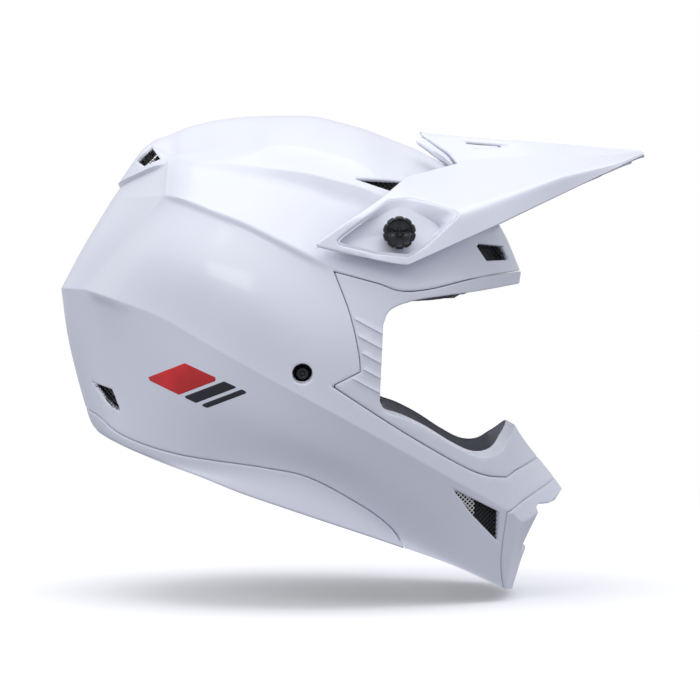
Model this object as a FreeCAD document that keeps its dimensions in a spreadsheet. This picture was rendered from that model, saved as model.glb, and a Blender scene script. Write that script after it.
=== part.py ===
"""Motocross helmet: a moulded shell with trims, vents, liner, strap and a tilting visor.

Frame: millimetres, +X forward (where the wearer looks), +Y to the wearer's left, +Z up.
The origin is the centre of the head cavity. The helmet is drawn as it is worn.
"""
import FreeCAD, Part
import math
import os
import Sketcher

V = FreeCAD.Vector
doc = FreeCAD.newDocument("motocross_helmet")

# ---------------------------------------------------------------- driving dimensions
DIMENSIONS = {
    "half_width": 127.0,           # widest half of the shell, at the belt crease
    "shell_wall": 3.6,
    "trim_wall": 4.6,
    "panel_gap": 0.4,              # seam between two outer panels
    "layer_gap": 0.6,              # air between the shell and what it carries
    "foam_outer": 4.8,             # how far inside the outer form the foam starts
    "head_length": 196.0,
    "head_width": 156.0,
    "head_height": 160.0,
    "head_drop": 8.0,              # head ellipsoid centre under the origin
    "pad_thickness": 11.0,         # comfort liner
    "face_width": 128.0,           # between the cheek pads
    "mesh_wall": 0.9,
    "prism_width": 300.0,
    "pivot_x": 61.0,
    "pivot_z": 38.0,
    "pivot_y": 111.6,              # outer face of the visor's boss, under the knob
    "knob_diameter": 19.0,
    "knob_height": 7.0,
    "knob_notches": 10.0,
    "shank_diameter": 6.0,
    "shank_length": 24.0,
    "nut_diameter": 14.0,
    "nut_height": 4.0,
    "boss_diameter": 15.0,
    "top_angle": 45.5,             # of the top screw's axis, up from straight ahead
    "top_radius": 53.0,            # from the pivot to the shell's crown at the top screw
    "top_head_diameter": 12.0,
    "top_head_height": 2.6,
    "slot_length": 21.0,
    "visor_wall": 2.6,
    "visor_clearance": 2.8,        # between the visor and the shell under it
    "strap_x": 6.0,
    "strap_width": 22.0,
    "strap_thickness": 2.2,
    "strap_rivet_z": -42.0,
    "rivet_recess": 11.6,
    "rivet_head": 10.0,
    "strap_low": -118.0,           # height of the fastened strap
    "ring_wire": 3.4,
    "ring_inner_width": 24.0,
    "ring_tilt": 8.0,
    "ring_y": -22.0,
}
sheet = doc.addObject("Spreadsheet::Sheet", "dimensions")
for row, (alias, value) in enumerate(DIMENSIONS.items(), start=1):
    sheet.set(f"A{row}", alias)
    sheet.set(f"B{row}", str(value))
    sheet.setAlias(f"B{row}", alias)
doc.recompute()


def size(alias):
    """A driving dimension, read from the sheet."""
    return float(getattr(sheet, alias))


# ---------------------------------------------------------------- the lines of the outer form
# Each line runs along one half of the form from the rear middle to the front middle.
# The belt and the shoulder are sharp creases; the form is smooth between them.
RIM = [(-121, 0, -79), (-118, 24, -80), (-110, 45, -83), (-95, 71, -88), (-74, 91, -95), (-52, 103, -102),
       (-28, 110, -111), (5, 113, -122), (34, 107, -132), (64, 94, -143), (94, 79, -155),
       (121, 58, -169), (127, 41, -172), (132, 0, -175)]
SEAM = [(-127, 0, -68), (-123, 24, -70), (-113, 46, -74), (-97, 72, -80), (-77, 91, -86), (-53, 102, -92),
        (-27, 108, -95), (3, 110, -100), (30, 104, -112), (57, 94, -132), (91, 80, -150),
        (121, 59, -165), (128, 42, -168), (133, 0, -171)]
HIP = [(-138, 0, -27), (-133, 24, -26), (-118, 46, -25), (-100, 74, -32), (-77, 98, -42), (-50, 113, -56),
       (-22, 119, -68), (6, 120, -79), (35, 114, -92), (63, 103, -110), (91, 88, -127),
       (123, 64, -144), (132, 44, -150), (142, 0, -146)]
BELT = [(-143, 0, 7), (-138, 24, 7), (-124, 44, 6), (-104, 76, 0), (-76, 102, -10), (-47, 118, -26),
        (-18, 125, -42), (10, 127, -57), (39, 121, -73), (67, 110, -89), (96, 93, -106),
        (126, 68, -124), (138, 46, -131), (162, 0, -115)]
FLANK = [(-129, 0, 33), (-122, 30, 33), (-100, 58, 34), (-82, 87, 28), (-60, 107, 20), (-38, 118, 10),
         (-15, 125, -3), (10, 127, -17), (39, 123, -26), (67, 113, -32), (93, 98, -38),
         (118, 75, -47), (135, 44, -57), (147, 0, -61)]
SHOULDER = [(-112, 0, 61), (-104, 32, 61), (-75, 72, 61), (-62, 84, 57), (-45, 96, 50), (-27, 105, 43),
            (-7, 113, 33), (15, 117, 22), (34, 117, 15), (61, 112, 7), (87, 101, 10),
            (108, 82, 13), (126, 50, 15), (137, 0, 17)]
BAND = [(-95, 0, 85), (-91, 25, 85), (-74, 52, 82), (-58, 62, 80), (-40, 70, 78), (-22, 77, 75),
        (-2, 83, 72), (20, 88, 68), (39, 91, 63), (62, 92, 56), (85, 86, 47),
        (106, 70, 42), (121, 42, 40), (128, 0, 38)]
PLATEAU = [(-90, 0, 92), (-86, 16, 91), (-72, 33, 88), (-56, 42, 89), (-41, 48, 91), (-26, 53, 92),
           (-10, 57, 94), (12, 60, 92), (33, 62, 88), (59, 62, 79), (83, 58, 68),
           (103, 46, 59), (114, 26, 55), (119, 0, 53)]
CROWN = [(-86, 0, 98), (-82, 0, 99), (-76, 0, 101), (-63, 0, 105), (-49, 0, 108), (-31, 0, 110),
         (-10, 0, 110), (15, 0, 109), (36, 0, 104), (57, 0, 98), (79, 0, 89),
         (95, 0, 79), (105, 0, 69), (109, 0, 65)]
FLOOR_Z = -195
FLOOR = [(x, y, FLOOR_Z) for x, y, z in RIM]

# ---------------------------------------------------------------- side outlines, (x, z)
# An outline is a list of runs. A run of two points is straight, a longer one is a curve.
SURROUND = [[(175, 20), (137, 18)], [(137, 18), (108, 13), (79, 6), (62, 5), (50, 9)],
            [(50, 9), (24, 16)], [(24, 16), (33, -8), (38, -30), (39, -41)],
            [(39, -41), (23, -49)], [(23, -49), (61, -74), (96, -95), (112, -102), (125, -104)],
            [(125, -104), (151, -94)], [(151, -94), (175, -88)], [(175, -88), (175, 20)]]
PORT = [[(170, 12), (137, 10)], [(137, 10), (108, 5), (86, 2), (68, -1), (56, -6), (52, -14)],
        [(52, -14), (50, -58)], [(50, -58), (54, -64), (65, -68), (79, -75), (95, -85),
                                 (108, -91), (119, -90), (128, -82), (133, -76)],
        [(133, -76), (151, -94)], [(151, -94), (160, -109)], [(160, -109), (175, -109)],
        [(175, -109), (170, 12)]]
RIM_SEAM = [[(-135, -63), (-118, -69), (-102, -79), (-67, -89), (-17, -96), (10, -102),
             (39, -118), (56, -131), (65, -143)]]
RIM_EDGE = [[(67, -143), (34, -132), (5, -122), (-28, -111), (-74, -95), (-110, -83), (-135, -74)]]
MOUTH = [[(125, -125), (158, -108)], [(158, -108), (178, -98)], [(178, -98), (178, -190)],
         [(178, -190), (128, -190)], [(128, -190), (122, -157), (125, -125)]]
VENTS = {
    "side_vent": [(36, 70), (63, 69), (57, 63)],
    "brow_vent": [(106, 33), (124, 32), (128, 24), (113, 23)],
    "rear_top_vent": [(-87, 93), (-80, 84), (-90, 80), (-96, 84)],
    "rear_low_vent": [(-121, -49), (-108, -53), (-102, -66), (-112, -60)],
    "chin_vent": [(93, -110), (117, -123), (117, -139), (104, -125)],
}
VISOR_SIDE = [[(14, 30), (40, 24), (55, 20.5), (65, 19.5), (70, 21)], [(70, 21), (119, 45)],
              [(119, 45), (215, 91)], [(215, 91), (215, 96)], [(215, 96), (75, 108)],
              [(75, 108), (73, 101), (84, 92), (91, 87), (96, 81)], [(96, 81), (66, 72)],
              [(66, 72), (50, 58)], [(50, 58), (14, 32)], [(14, 32), (14, 30)]]
POCKET = [(23, 32), (55, 57), (68, 58.5), (84, 54.5), (97, 50), (77, 31), (66, 24.5), (48, 26)]
FIN_SLOT = [(101, 94), (127, 92), (108, 90)]

# visor lines, front to back along one half: (x, y, z)
VISOR_X = [10, 50, 66, 84, 97, 111, 124, 155, 192, 208]
VISOR_LINES = {
    "centre": [(10, 0, 100), (84, 0, 92.5), (97, 0, 84), (111, 0, 71.5), (124, 0, 80), (150, 0, 87),
               (208, 0, 89)],
    "base": [(10, 32, 98), (84, 32, 89), (97, 29, 80), (111, 27, 70), (124, 26, 79), (150, 24, 87),
             (208, 18, 89)],
    "crest": [(10, 44, 106), (75, 40, 101), (150, 32, 95), (208, 20, 90)],
    "middle": [(10, 96, 74), (50, 86, 74), (66, 77, 74), (97, 54, 82), (155, 46, 84), (208, 26, 89)],
    "crease": [(10, 120, 46), (50, 114, 46), (66, 111, 47), (97, 104, 50), (155, 80, 72),
               (192, 62, 81), (208, 40, 88)],
    "lower": [(10, 124, 30), (65, 119, 19), (119, 98, 44), (192, 63, 79), (208, 41, 84)],
}
# how the visor's inner face lies from the outer one, in wall thicknesses: (y, z)
VISOR_INSET = {"centre": (0, -1), "base": (0.3, -1), "crest": (0, -2.2), "middle": (-0.7, -0.9),
               "crease": (-1, -0.5), "lower": (-1, 0)}


# ---------------------------------------------------------------- form
def spline(points, before, after, steps):
    """Points along the Catmull-Rom curve through points, with a phantom point at each end."""
    line = [before] + points + [after]
    found = []
    for k in range(1, len(line) - 2):
        a, b, c, d = line[k - 1:k + 3]
        for i in range(steps):
            t = i / steps
            found.append(b * (2 * t**3 - 3 * t**2 + 1) + (c - a) * 0.5 * (t**3 - 2 * t**2 + t)
                         + c * (3 * t**2 - 2 * t**3) + (d - b) * 0.5 * (t**3 - t**2))
    return found + [points[-1]]


def mirrored(point):
    return V(point.x, -point.y, point.z)


def patch(rows, steps, meets_mirror=False):
    """Columns of points over a zone of one half, between the first and the last row."""
    lines = []
    for row in rows:
        points = [V(*p) for p in row]
        lines.append(spline(points, mirrored(points[1]), mirrored(points[-2]), 2))
    columns = []
    for column in zip(*lines):
        column = list(column)
        before = column[0] * 2 - column[1]
        after = mirrored(column[-2]) if meets_mirror else column[-1] * 2 - column[-2]
        columns.append(spline(column, before, after, steps))
    return columns


ZONES = [patch((FLOOR, RIM), 1), patch((RIM, SEAM, HIP, BELT), 2),
         patch((BELT, FLANK, SHOULDER), 3), patch((SHOULDER, BAND, PLATEAU, CROWN), 3, True)]


def knots(count, degree):
    inner = count - degree - 1
    return [degree + 1] + [1] * inner + [degree + 1], [float(i) for i in range(inner + 2)]


def zone_face(columns, scale, side):
    degree = min(3, len(columns[0]) - 1)
    poles = [[V(p.x * scale, p.y * scale * side, p.z * scale) for p in c] for c in columns]
    u_mults, u_knots = knots(len(poles), 3)
    v_mults, v_knots = knots(len(poles[0]), degree)
    surface = Part.BSplineSurface()
    surface.buildFromPolesMultsKnots(poles, u_mults, v_mults, u_knots, v_knots,
                                     False, False, 3, degree)
    return surface.toShape()


def form_shape(inset):
    """The closed outer form, drawn in by inset at its widest."""
    scale = 1 - inset / size("half_width")
    faces = [zone_face(zone, scale, side) for zone in ZONES for side in (1, -1)]
    low = FLOOR_Z * scale
    edges = [e for f in faces[:2] for e in f.Edges
             if e.BoundBox.ZLength < 1e-3 and abs(e.BoundBox.ZMin - low) < 1e-3]
    faces.append(Part.Face(Part.Wire(Part.__sortEdges__(edges))))
    shell = Part.makeShell(faces)
    shell.sewShape()
    return Part.makeSolid(shell)


# ---------------------------------------------------------------- document helpers
def feature(name, shape):
    made = doc.addObject("Part::Feature", name)
    made.Shape = shape
    made.Label = name
    return made


def form(name, inset):
    return feature(name, form_shape(inset))


def run_edges(runs):
    edges = []
    for run in runs:
        points = [V(x, 0, z) for x, z in run]
        if len(points) == 2:
            edges.append(Part.LineSegment(*points).toShape())
        else:
            curve = Part.BSplineCurve()
            curve.interpolate(points)
            edges.append(curve.toShape())
    return edges


def plain_wire(wire):
    """The same wire with each curved edge redrawn as one spline, which STEP files keep."""
    edges = []
    for edge in wire.OrderedEdges:
        if isinstance(edge.Curve, Part.Line):
            edges.append(edge)
        else:
            curve = Part.BSplineCurve()
            curve.interpolate(edge.discretize(16))
            edges.append(curve.toShape())
    return Part.Wire(Part.__sortEdges__(edges))


def closed_runs(points):
    return [[a, b] for a, b in zip(points, points[1:] + points[:1])]


def prism(name, runs, grow=0.0):
    """A side outline pushed out along Y to both sides, grown or shrunk in its own plane."""
    wire = Part.Wire(run_edges(runs))
    if grow:
        wire = plain_wire(wire.makeOffset2D(grow))
    sheet_face = feature(name + "_outline", Part.Face(wire))
    made = doc.addObject("Part::Extrusion", name)
    made.Base = sheet_face
    made.Dir = V(0, 1, 0)
    made.DirMode = "Custom"
    made.Symmetric = True
    made.setExpression("LengthFwd", "dimensions.prism_width")
    return made


def box(name, low, high):
    made = doc.addObject("Part::Box", name)
    made.Length, made.Width, made.Height = [b - a for a, b in zip(low, high)]
    made.Placement.Base = V(*low)
    return made


def fuse(name, pieces):
    made = doc.addObject("Part::MultiFuse", name)
    made.Shapes = pieces
    return made


def cut(name, base, *tools):
    made = doc.addObject("Part::Cut", name)
    made.Base = base
    made.Tool = tools[0] if len(tools) == 1 else fuse(name + "_tools", list(tools))
    return made


def common(name, first, second):
    made = doc.addObject("Part::Common", name)
    made.Base = first
    made.Tool = second
    return made


def wall(name, outer_inset, inner_inset):
    """The layer of the helmet between two depths under the outer form."""
    return cut(name, form(name + "_outer", outer_inset), form(name + "_inner", inner_inset))


AXES = {"strap": (size("strap_x"), size("strap_rivet_z")), "pivot": (size("pivot_x"), size("pivot_z"))}


def cross_cylinder(name, axis, radius):
    """A cylinder along Y, right through the helmet, about one of the named axes."""
    x, z = AXES[axis]
    made = doc.addObject("Part::Cylinder", name)
    made.setExpression("Radius", radius)
    made.setExpression("Height", "dimensions.prism_width")
    made.Placement = FreeCAD.Placement(V(x, size("prism_width") / 2, z),
                                       FreeCAD.Rotation(V(1, 0, 0), 90))
    return made


NODES = {}


def node(name, made):
    """Keeps an object as one piece of the helmet, under its own name."""
    made.Label = name
    NODES[name] = made
    return made


SIDES = {"right": -1, "left": 1}
gap = size("panel_gap")
reach = size("prism_width") / 2
HALF = {side: box(f"{side}_half", (-200, min(0, sign * reach), -200), (220, max(0, sign * reach), 130))
        for side, sign in SIDES.items()}

# ---------------------------------------------------------------- outer panels
port = prism("port", PORT)
surround = prism("surround", SURROUND)
mouth = prism("mouth", MOUTH)
under_seam = prism("under_seam", RIM_SEAM + [[(65, -143), (66, -190)], [(66, -190), (-135, -190)],
                                             [(-135, -190), (-135, -63)]])
under_rim = prism("under_rim", RIM_EDGE + [[(-135, -74), (-150, -74)], [(-150, -74), (-150, -196)],
                                           [(-150, -196), (178, -196)], [(178, -196), (178, -178)],
                                           [(178, -178), (130, -176)],
                                           [(130, -176), (94, -156), (67, -143)]])
vent_prisms = {name: prism(name, closed_runs(points)) for name, points in VENTS.items()}

strap_holes = cross_cylinder("strap_holes", "strap", "dimensions.rivet_recess / 2")
pivot_holes = cross_cylinder("pivot_holes", "pivot", "dimensions.shank_diameter / 2 + 0.2")
TOP_AXIS = V(math.cos(math.radians(size("top_angle"))), 0, math.sin(math.radians(size("top_angle"))))
TOP_POINT = V(size("pivot_x"), 0, size("pivot_z")) + TOP_AXIS * size("top_radius")
along_top = FreeCAD.Rotation(V(0, 0, 1), TOP_AXIS)
top_hole = doc.addObject("Part::Cylinder", "top_hole")
top_hole.setExpression("Radius", "dimensions.shank_diameter / 2 + 0.2")
top_hole.Height = 60
top_hole.Placement = FreeCAD.Placement(TOP_POINT - TOP_AXIS * 40, along_top)

shell_wall = wall("shell_wall_layer", 0, size("shell_wall"))
node("outer_shell", cut("outer_shell", shell_wall, surround, port, mouth, under_seam, under_rim,
                        strap_holes, pivot_holes, top_hole, *vent_prisms.values()))

trim_wall = wall("trim_wall_layer", 0, size("trim_wall"))
surround_inside = prism("surround_inside", SURROUND, -gap)
node("eyeport_trim", cut("eyeport_trim", common("eyeport_band", trim_wall, surround_inside), port))

seam_inside = prism("seam_inside", RIM_SEAM + [[(65, -143), (66, -190)], [(66, -190), (-135, -190)],
                                               [(-135, -190), (-135, -63)]], -gap)
node("rim_trim", cut("rim_trim", common("rim_band", trim_wall, seam_inside), under_rim))

mouth_inside = prism("mouth_inside", MOUTH, -gap)
mouth_window = box("mouth_window", (100, -34, -150), (180, 34, -122))
node("mouth_bezel", cut("mouth_bezel", common("mouth_band", trim_wall, mouth_inside),
                        under_rim, port, mouth_window))

# ---------------------------------------------------------------- grilles behind the openings
mesh_layer = wall("mesh_layer", size("shell_wall") + 0.3, size("shell_wall") + 0.3 + size("mesh_wall"))
for name, points in VENTS.items():
    grille = common(name + "_grille", mesh_layer, prism(name + "_grown", closed_runs(points), 1.5))
    for side in SIDES:
        node(f"{name}_mesh_{side}", common(f"{name}_mesh_{side}", grille, HALF[side]))
grille_window = box("grille_window", (100, -37, -153), (180, 37, -119))
node("mouth_grille", common("mouth_grille", wall("grille_layer", 4.9, 6.1), grille_window))


# ---------------------------------------------------------------- visor
def on_line(line, x):
    """(y, z) of a visor line at a distance ahead."""
    for (x0, y0, z0), (x1, y1, z1) in zip(line, line[1:]):
        if x <= x1:
            t = (x - x0) / (x1 - x0)
            return y0 + (y1 - y0) * t, z0 + (z1 - z0) * t


def visor_section(x, filled):
    """The visor's outline across the helmet: its outer face, and its inner one unless filled."""
    outer = [on_line(line, x) for line in VISOR_LINES.values()]
    points = [(y, z) for y, z in reversed(outer)] + [(-y, z) for y, z in outer[1:]]
    if not filled:
        inner = [(y + dy * size("visor_wall"), z + dz * size("visor_wall"))
                 for (y, z), (dy, dz) in zip(outer, VISOR_INSET.values())]
        points += [(-y, z) for y, z in reversed(inner)] + [(y, z) for y, z in inner[1:]]
    corners = [V(x, y, z) for y, z in points]
    return Part.makePolygon(corners + corners[:1])


def visor_loft(name, filled):
    return feature(name, Part.makeLoft([visor_section(x, filled) for x in VISOR_X], True, True))


clear_form = form("visor_clear_form", -size("visor_clearance"))
pocket = prism("pocket", closed_runs(POCKET))
pocket_grown = prism("pocket_grown", closed_runs(POCKET), size("visor_wall"))
pocket_walls = cut("pocket_walls", common("pocket_block", visor_loft("visor_filled", True),
                                          pocket_grown), pocket)
pocket_layer = wall("pocket_layer", -size("visor_clearance") - size("visor_wall"),
                    -size("visor_clearance"))
pocket_floor = common("pocket_floor", pocket_layer, pocket_grown)
bosses = cross_cylinder("bosses", "pivot", "dimensions.boss_diameter / 2")
bosses.setExpression("Height", "2 * dimensions.pivot_y")
bosses.Placement.Base.y = size("pivot_y")
sheet_open = cut("visor_sheet_open", visor_loft("visor_sheet", False), pocket)
visor_solid = fuse("visor_solid", [sheet_open, pocket_walls, pocket_floor, bosses])
slot = doc.addObject("Part::Box", "top_slot")
slot.setExpression("Length", "dimensions.slot_length")
slot.setExpression("Width", "dimensions.shank_diameter + 0.8")
slot.Height = 40
slot.Placement = FreeCAD.Placement(
    TOP_POINT, along_top, V(0, 0, 0)).multiply(
    FreeCAD.Placement(V(-size("slot_length") / 2, -size("shank_diameter") / 2 - 0.4, -20),
                      FreeCAD.Rotation()))
fin_slots = prism("fin_slots", closed_runs(FIN_SLOT))
visor_trimmed = common("visor_trimmed", visor_solid, prism("visor_side", VISOR_SIDE))
node("visor", cut("visor", visor_trimmed, clear_form, pivot_holes, slot, fin_slots))


# ---------------------------------------------------------------- turned hardware
def origin_plane(body, role):
    return next(f for f in body.Origin.OriginFeatures if f.Role == role)


def disc_sketch(body, name, radius, at=(0, 0), low="0"):
    """A circle on the body's base plane, raised to low, with its radius bound to the sheet."""
    sketch = body.newObject("Sketcher::SketchObject", name)
    sketch.AttachmentSupport = [(origin_plane(body, "XY_Plane"), "")]
    sketch.MapMode = "FlatFace"
    sketch.setExpression("AttachmentOffset.Base.z", low)
    sketch.addGeometry(Part.Circle(V(at[0], at[1], 0), V(0, 0, 1), 1), False)
    sketch.addConstraint(Sketcher.Constraint("DistanceX", -1, 1, 0, 3, at[0] or 1e-6))
    sketch.addConstraint(Sketcher.Constraint("DistanceY", -1, 1, 0, 3, at[1] or 1e-6))
    sketch.addConstraint(Sketcher.Constraint("Radius", 0, 1))
    sketch.setExpression("Constraints[2]", radius)
    return sketch


def stacked(name, discs, placement):
    """A turned part: discs of (radius, low, height) on one axis, as pads of one body."""
    body = doc.addObject("PartDesign::Body", name)
    for count, (radius, low, height) in enumerate(discs):
        pad = body.newObject("PartDesign::Pad", f"{name}_pad{count}")
        pad.Profile = disc_sketch(body, f"{name}_sketch{count}", radius, low=low)
        pad.setExpression("Length", height)
    body.Placement = placement
    return body


def bored(body, name, radius):
    """Bores a turned part right through along its axis."""
    pocket_cut = body.newObject("PartDesign::Pocket", name + "_bore")
    pocket_cut.Profile = disc_sketch(body, name + "_bore_sketch", radius, low="-30 mm")
    pocket_cut.Type = "ThroughAll"
    pocket_cut.Reversed = True
    return body


def outward(x, y, z, sign):
    """Local +Z pointing out of the helmet on one side."""
    return FreeCAD.Placement(V(x, sign * y, z), FreeCAD.Rotation(V(1, 0, 0), -90 * sign))


def notched(body, name):
    """Cuts the finger notches round the knob."""
    notch = body.newObject("PartDesign::Pocket", name + "_notch")
    radius = size("knob_diameter") / 2
    notch.Profile = disc_sketch(body, name + "_notch_sketch", "1.5", at=(radius + 0.5, 0), low="-1")
    notch.Length = 40
    notch.Reversed = True
    ring = body.newObject("PartDesign::PolarPattern", name + "_notches")
    ring.Originals = [notch]
    ring.Axis = (origin_axis(body), [""])
    ring.Angle = 360
    ring.Occurrences = int(size("knob_notches"))
    body.Tip = ring
    return body


def origin_axis(body):
    return next(f for f in body.Origin.OriginFeatures if f.Role == "Z_Axis")


for side, sign in SIDES.items():
    knob = stacked(f"visor_screw_{side}", [
        ("dimensions.shank_diameter / 2", "-dimensions.shank_length", "dimensions.shank_length"),
        ("dimensions.knob_diameter / 2", "0.3", "dimensions.knob_height"),
        ("dimensions.shank_diameter / 2", "-0.1", "0.6")],
        outward(size("pivot_x"), size("pivot_y"), size("pivot_z"), sign))
    node(f"visor_screw_{side}", notched(knob, f"visor_screw_{side}"))
    nut = stacked(f"visor_nut_{side}", [
        ("dimensions.nut_diameter / 2", "0", "dimensions.nut_height"),
        ("dimensions.shank_diameter / 2 + 1.6", "0", "dimensions.nut_height + 2")],
        outward(size("pivot_x"), 86.5, size("pivot_z"), sign))
    node(f"visor_nut_{side}", bored(nut, f"visor_nut_{side}", "dimensions.shank_diameter / 2 + 0.15"))
    rivet = stacked(f"strap_rivet_{side}", [
        ("dimensions.rivet_head / 2", "0", "2"),
        ("2.5", "0", "6"),
        ("dimensions.rivet_head / 2", "5.4", "2.6")],
        outward(size("strap_x"), 113.6, size("strap_rivet_z"), sign))
    node(f"strap_rivet_{side}", rivet)

top_base = size("visor_clearance") + size("visor_wall") + 0.9
top_screw = stacked("visor_top_screw", [
    ("dimensions.shank_diameter / 2 - 0.4", "-14", f"14 + {top_base}"),
    ("dimensions.top_head_diameter / 2", f"{top_base}", "dimensions.top_head_height")],
    FreeCAD.Placement(TOP_POINT, along_top))
node("visor_top_screw", top_screw)
top_nut = stacked("visor_top_nut", [("dimensions.nut_diameter / 2", "0", "dimensions.nut_height")],
                  FreeCAD.Placement(TOP_POINT - TOP_AXIS * 9.5, along_top))
node("visor_top_nut", bored(top_nut, "visor_top_nut", "dimensions.shank_diameter / 2 - 0.2"))
node_pockets = [cross_cylinder("nut_pockets", "pivot", "dimensions.nut_diameter / 2 + 1")]
top_pocket = doc.addObject("Part::Cylinder", "top_nut_pocket")
top_pocket.setExpression("Radius", "dimensions.nut_diameter / 2 + 1")
top_pocket.Height = 30
top_pocket.Placement = FreeCAD.Placement(TOP_POINT - TOP_AXIS * 16, along_top)
node_pockets.append(top_pocket)


# ---------------------------------------------------------------- liner and pads
def oval_shape(half_x, half_y, half_up, grow):
    """A head-sized dome that runs on down as an oval tube."""
    drop = -size("head_drop")
    a, b, c = half_x + grow, half_y + grow, half_up + grow
    stretch = FreeCAD.Matrix(a, 0, 0, 0, 0, b, 0, 0, 0, 0, c, drop, 0, 0, 0, 1)
    dome = Part.makeSphere(1).transformGeometry(stretch)
    tube = Part.makeCylinder(1, 1, V(0, 0, -1)).transformGeometry(
        FreeCAD.Matrix(a, 0, 0, 0, 0, b, 0, 0, 0, 0, 200, drop, 0, 0, 0, 1))
    return dome.fuse(tube)


def bowl(name, grow):
    return feature(name, oval_shape(size("head_length") / 2, size("head_width") / 2,
                                    size("head_height") / 2, grow))


def strap_band(side_sign, path, thickness, width, name):
    """A flat strap along a path of (y, z) points."""
    points = [V(0, side_sign * y, z) for y, z in path]
    left, right = [], []
    for k, p in enumerate(points):
        ahead = points[min(k + 1, len(points) - 1)] - points[max(k - 1, 0)]
        across = V(0, -ahead.z, ahead.y).normalize() * (thickness / 2)
        left.append(p + across)
        right.append(p - across)
    corners = left + right[::-1]
    face = Part.Face(Part.makePolygon(corners + corners[:1]))
    face.translate(V(size("strap_x") - width / 2, 0, 0))
    return feature(name, face.extrude(V(width, 0, 0)))


low = size("strap_low")
STRAP_PATH = [(117.5, -30), (117.5, -50), (115, -58), (80, -106), (72, -113), (62, low)]
cavity = bowl("head_cavity", 0)
pad_outer = bowl("pad_outer", size("pad_thickness"))
foam_inner = bowl("foam_inner", size("pad_thickness") + size("layer_gap"))
foam_body = form("foam_outer_form", size("foam_outer"))

straps = {}
slots = []
for side, sign in SIDES.items():
    path = STRAP_PATH + ([(-size("ring_y") + 3, low)] if side == "right" else [(-16, low)])
    straps[side] = strap_band(sign, path, size("strap_thickness"), size("strap_width"), f"band_{side}")
    slots.append(strap_band(sign, path[:-1], size("strap_thickness") + 1.2,
                            size("strap_width") + 1.2, f"band_slot_{side}"))
rivet_room = cross_cylinder("rivet_room", "strap", "dimensions.rivet_head / 2 + 1")
node_pockets += slots + [rivet_room]

foam_region = prism("foam_region", [[(150, 20), (60, 8)], [(60, 8), (46, -10)], [(46, -10), (40, -54)],
                                    [(40, -54), (-34, -54)], [(-34, -54), (-42, -62)],
                                    [(-42, -62), (-150, -60)], [(-150, -60), (-150, 120)],
                                    [(-150, 120), (150, 120)], [(150, 120), (150, 20)]])
foam_dome = cut("foam_dome", foam_body, foam_inner)
node("impact_liner", cut("impact_liner", common("foam_kept", foam_dome, foam_region), *node_pockets))

pad_layer = cut("pad_layer", pad_outer, cavity)
PADS = {
    "crown_pad": ((-150, -120, 26), (150, 120, 120)),
    "brow_pad": ((10, -120, -4), (150, 120, 25.4)),
    "rear_pad": ((-150, -120, -50), (9.4, 120, 25.4)),
}
for name, (low_corner, high_corner) in PADS.items():
    node(name, common(name, pad_layer, box(name + "_box", low_corner, high_corner)))

face_tube = feature("face_tube", oval_shape(104, size("face_width") / 2, 10, 0))
CHEEK = [(-33, -54.6), (40, -54.6), (48, -64), (66, -74), (88, -86), (88, -112), (80, -138),
         (64, -135), (34, -124), (5, -114), (-28, -103), (-33, -101)]
cheek_region = prism("cheek_region", closed_runs(CHEEK))
cheek_block = cut("cheek_block", common("cheek_solid", foam_body, cheek_region), face_tube, *slots,
                  rivet_room)
for side in SIDES:
    node(f"cheek_pad_{side}", common(f"cheek_pad_{side}", cheek_block, HALF[side]))

CHIN = [(92, -97), (112, -101), (128, -93), (135, -88), (151, -104), (154, -116), (138, -146),
        (126, -164), (92, -151)]
chin_region = prism("chin_region", closed_runs(CHIN))
node("chin_liner", cut("chin_liner", common("chin_solid", wall("chin_layer", 6.4, 19), chin_region),
                       grille_window))

NECK = [(-34, -62.6), (-33.6, -99), (-74, -90), (-108, -79), (-135, -71), (-135, -62.6)]
neck_region = prism("neck_region", closed_runs(NECK))
node("neck_roll", common("neck_roll", wall("neck_layer", size("foam_outer"), 26), neck_region))

# ---------------------------------------------------------------- strap and its rings
ring_wire = size("ring_wire") / 2
loop_hole = ring_wire + 0.2
bar_rise = ring_wire + 0.1


def stadium(name, radius, width):
    """An upright slot shape about the ring bars, as a solid along X."""
    made = doc.addObject("Part::MultiFuse", name)
    x, y = size("strap_x") - width / 2, size("ring_y")
    pieces = [box(name + "_box", (x, y - radius, low - bar_rise), (x + width, y + radius, low + bar_rise))]
    for rise in (-bar_rise, bar_rise):
        end = doc.addObject("Part::Cylinder", name + "_end")
        end.Radius = radius
        end.Height = width
        end.Placement = FreeCAD.Placement(V(x, y, low + rise), FreeCAD.Rotation(V(0, 1, 0), 90))
        pieces.append(end)
    made.Shapes = pieces
    return made


rivet_bore = cross_cylinder("rivet_bore", "strap", "2.7")
loop = cut("ring_loop", stadium("loop_outer", loop_hole + 1.9, size("strap_width")),
           stadium("loop_inner", loop_hole, size("strap_width") + 2))
node("strap_right", cut("strap_right", fuse("strap_right_solid", [straps["right"], loop]), rivet_bore))
node("strap_left", cut("strap_left", straps["left"], rivet_bore))
for name, sign in {"d_ring_upper": 1, "d_ring_lower": -1}.items():
    radius = (size("ring_inner_width") + size("ring_wire")) / 2
    bar = doc.addObject("Part::Cylinder", name + "_bar")
    bar.setExpression("Radius", "dimensions.ring_wire / 2")
    bar.Height = 2 * radius
    bar.Placement = FreeCAD.Placement(V(-radius, 0, 0), FreeCAD.Rotation(V(0, 1, 0), 90))
    bow = doc.addObject("Part::Torus", name + "_bow")
    bow.Radius1 = radius
    bow.setExpression("Radius2", "dimensions.ring_wire / 2")
    bow.Angle3 = 180
    ring = fuse(name, [bar, bow])
    ring.Placement = FreeCAD.Placement(V(size("strap_x"), size("ring_y"), low + sign * bar_rise),
                                       FreeCAD.Rotation(V(1, 0, 0), sign * size("ring_tilt")))
    node(name, ring)

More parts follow.
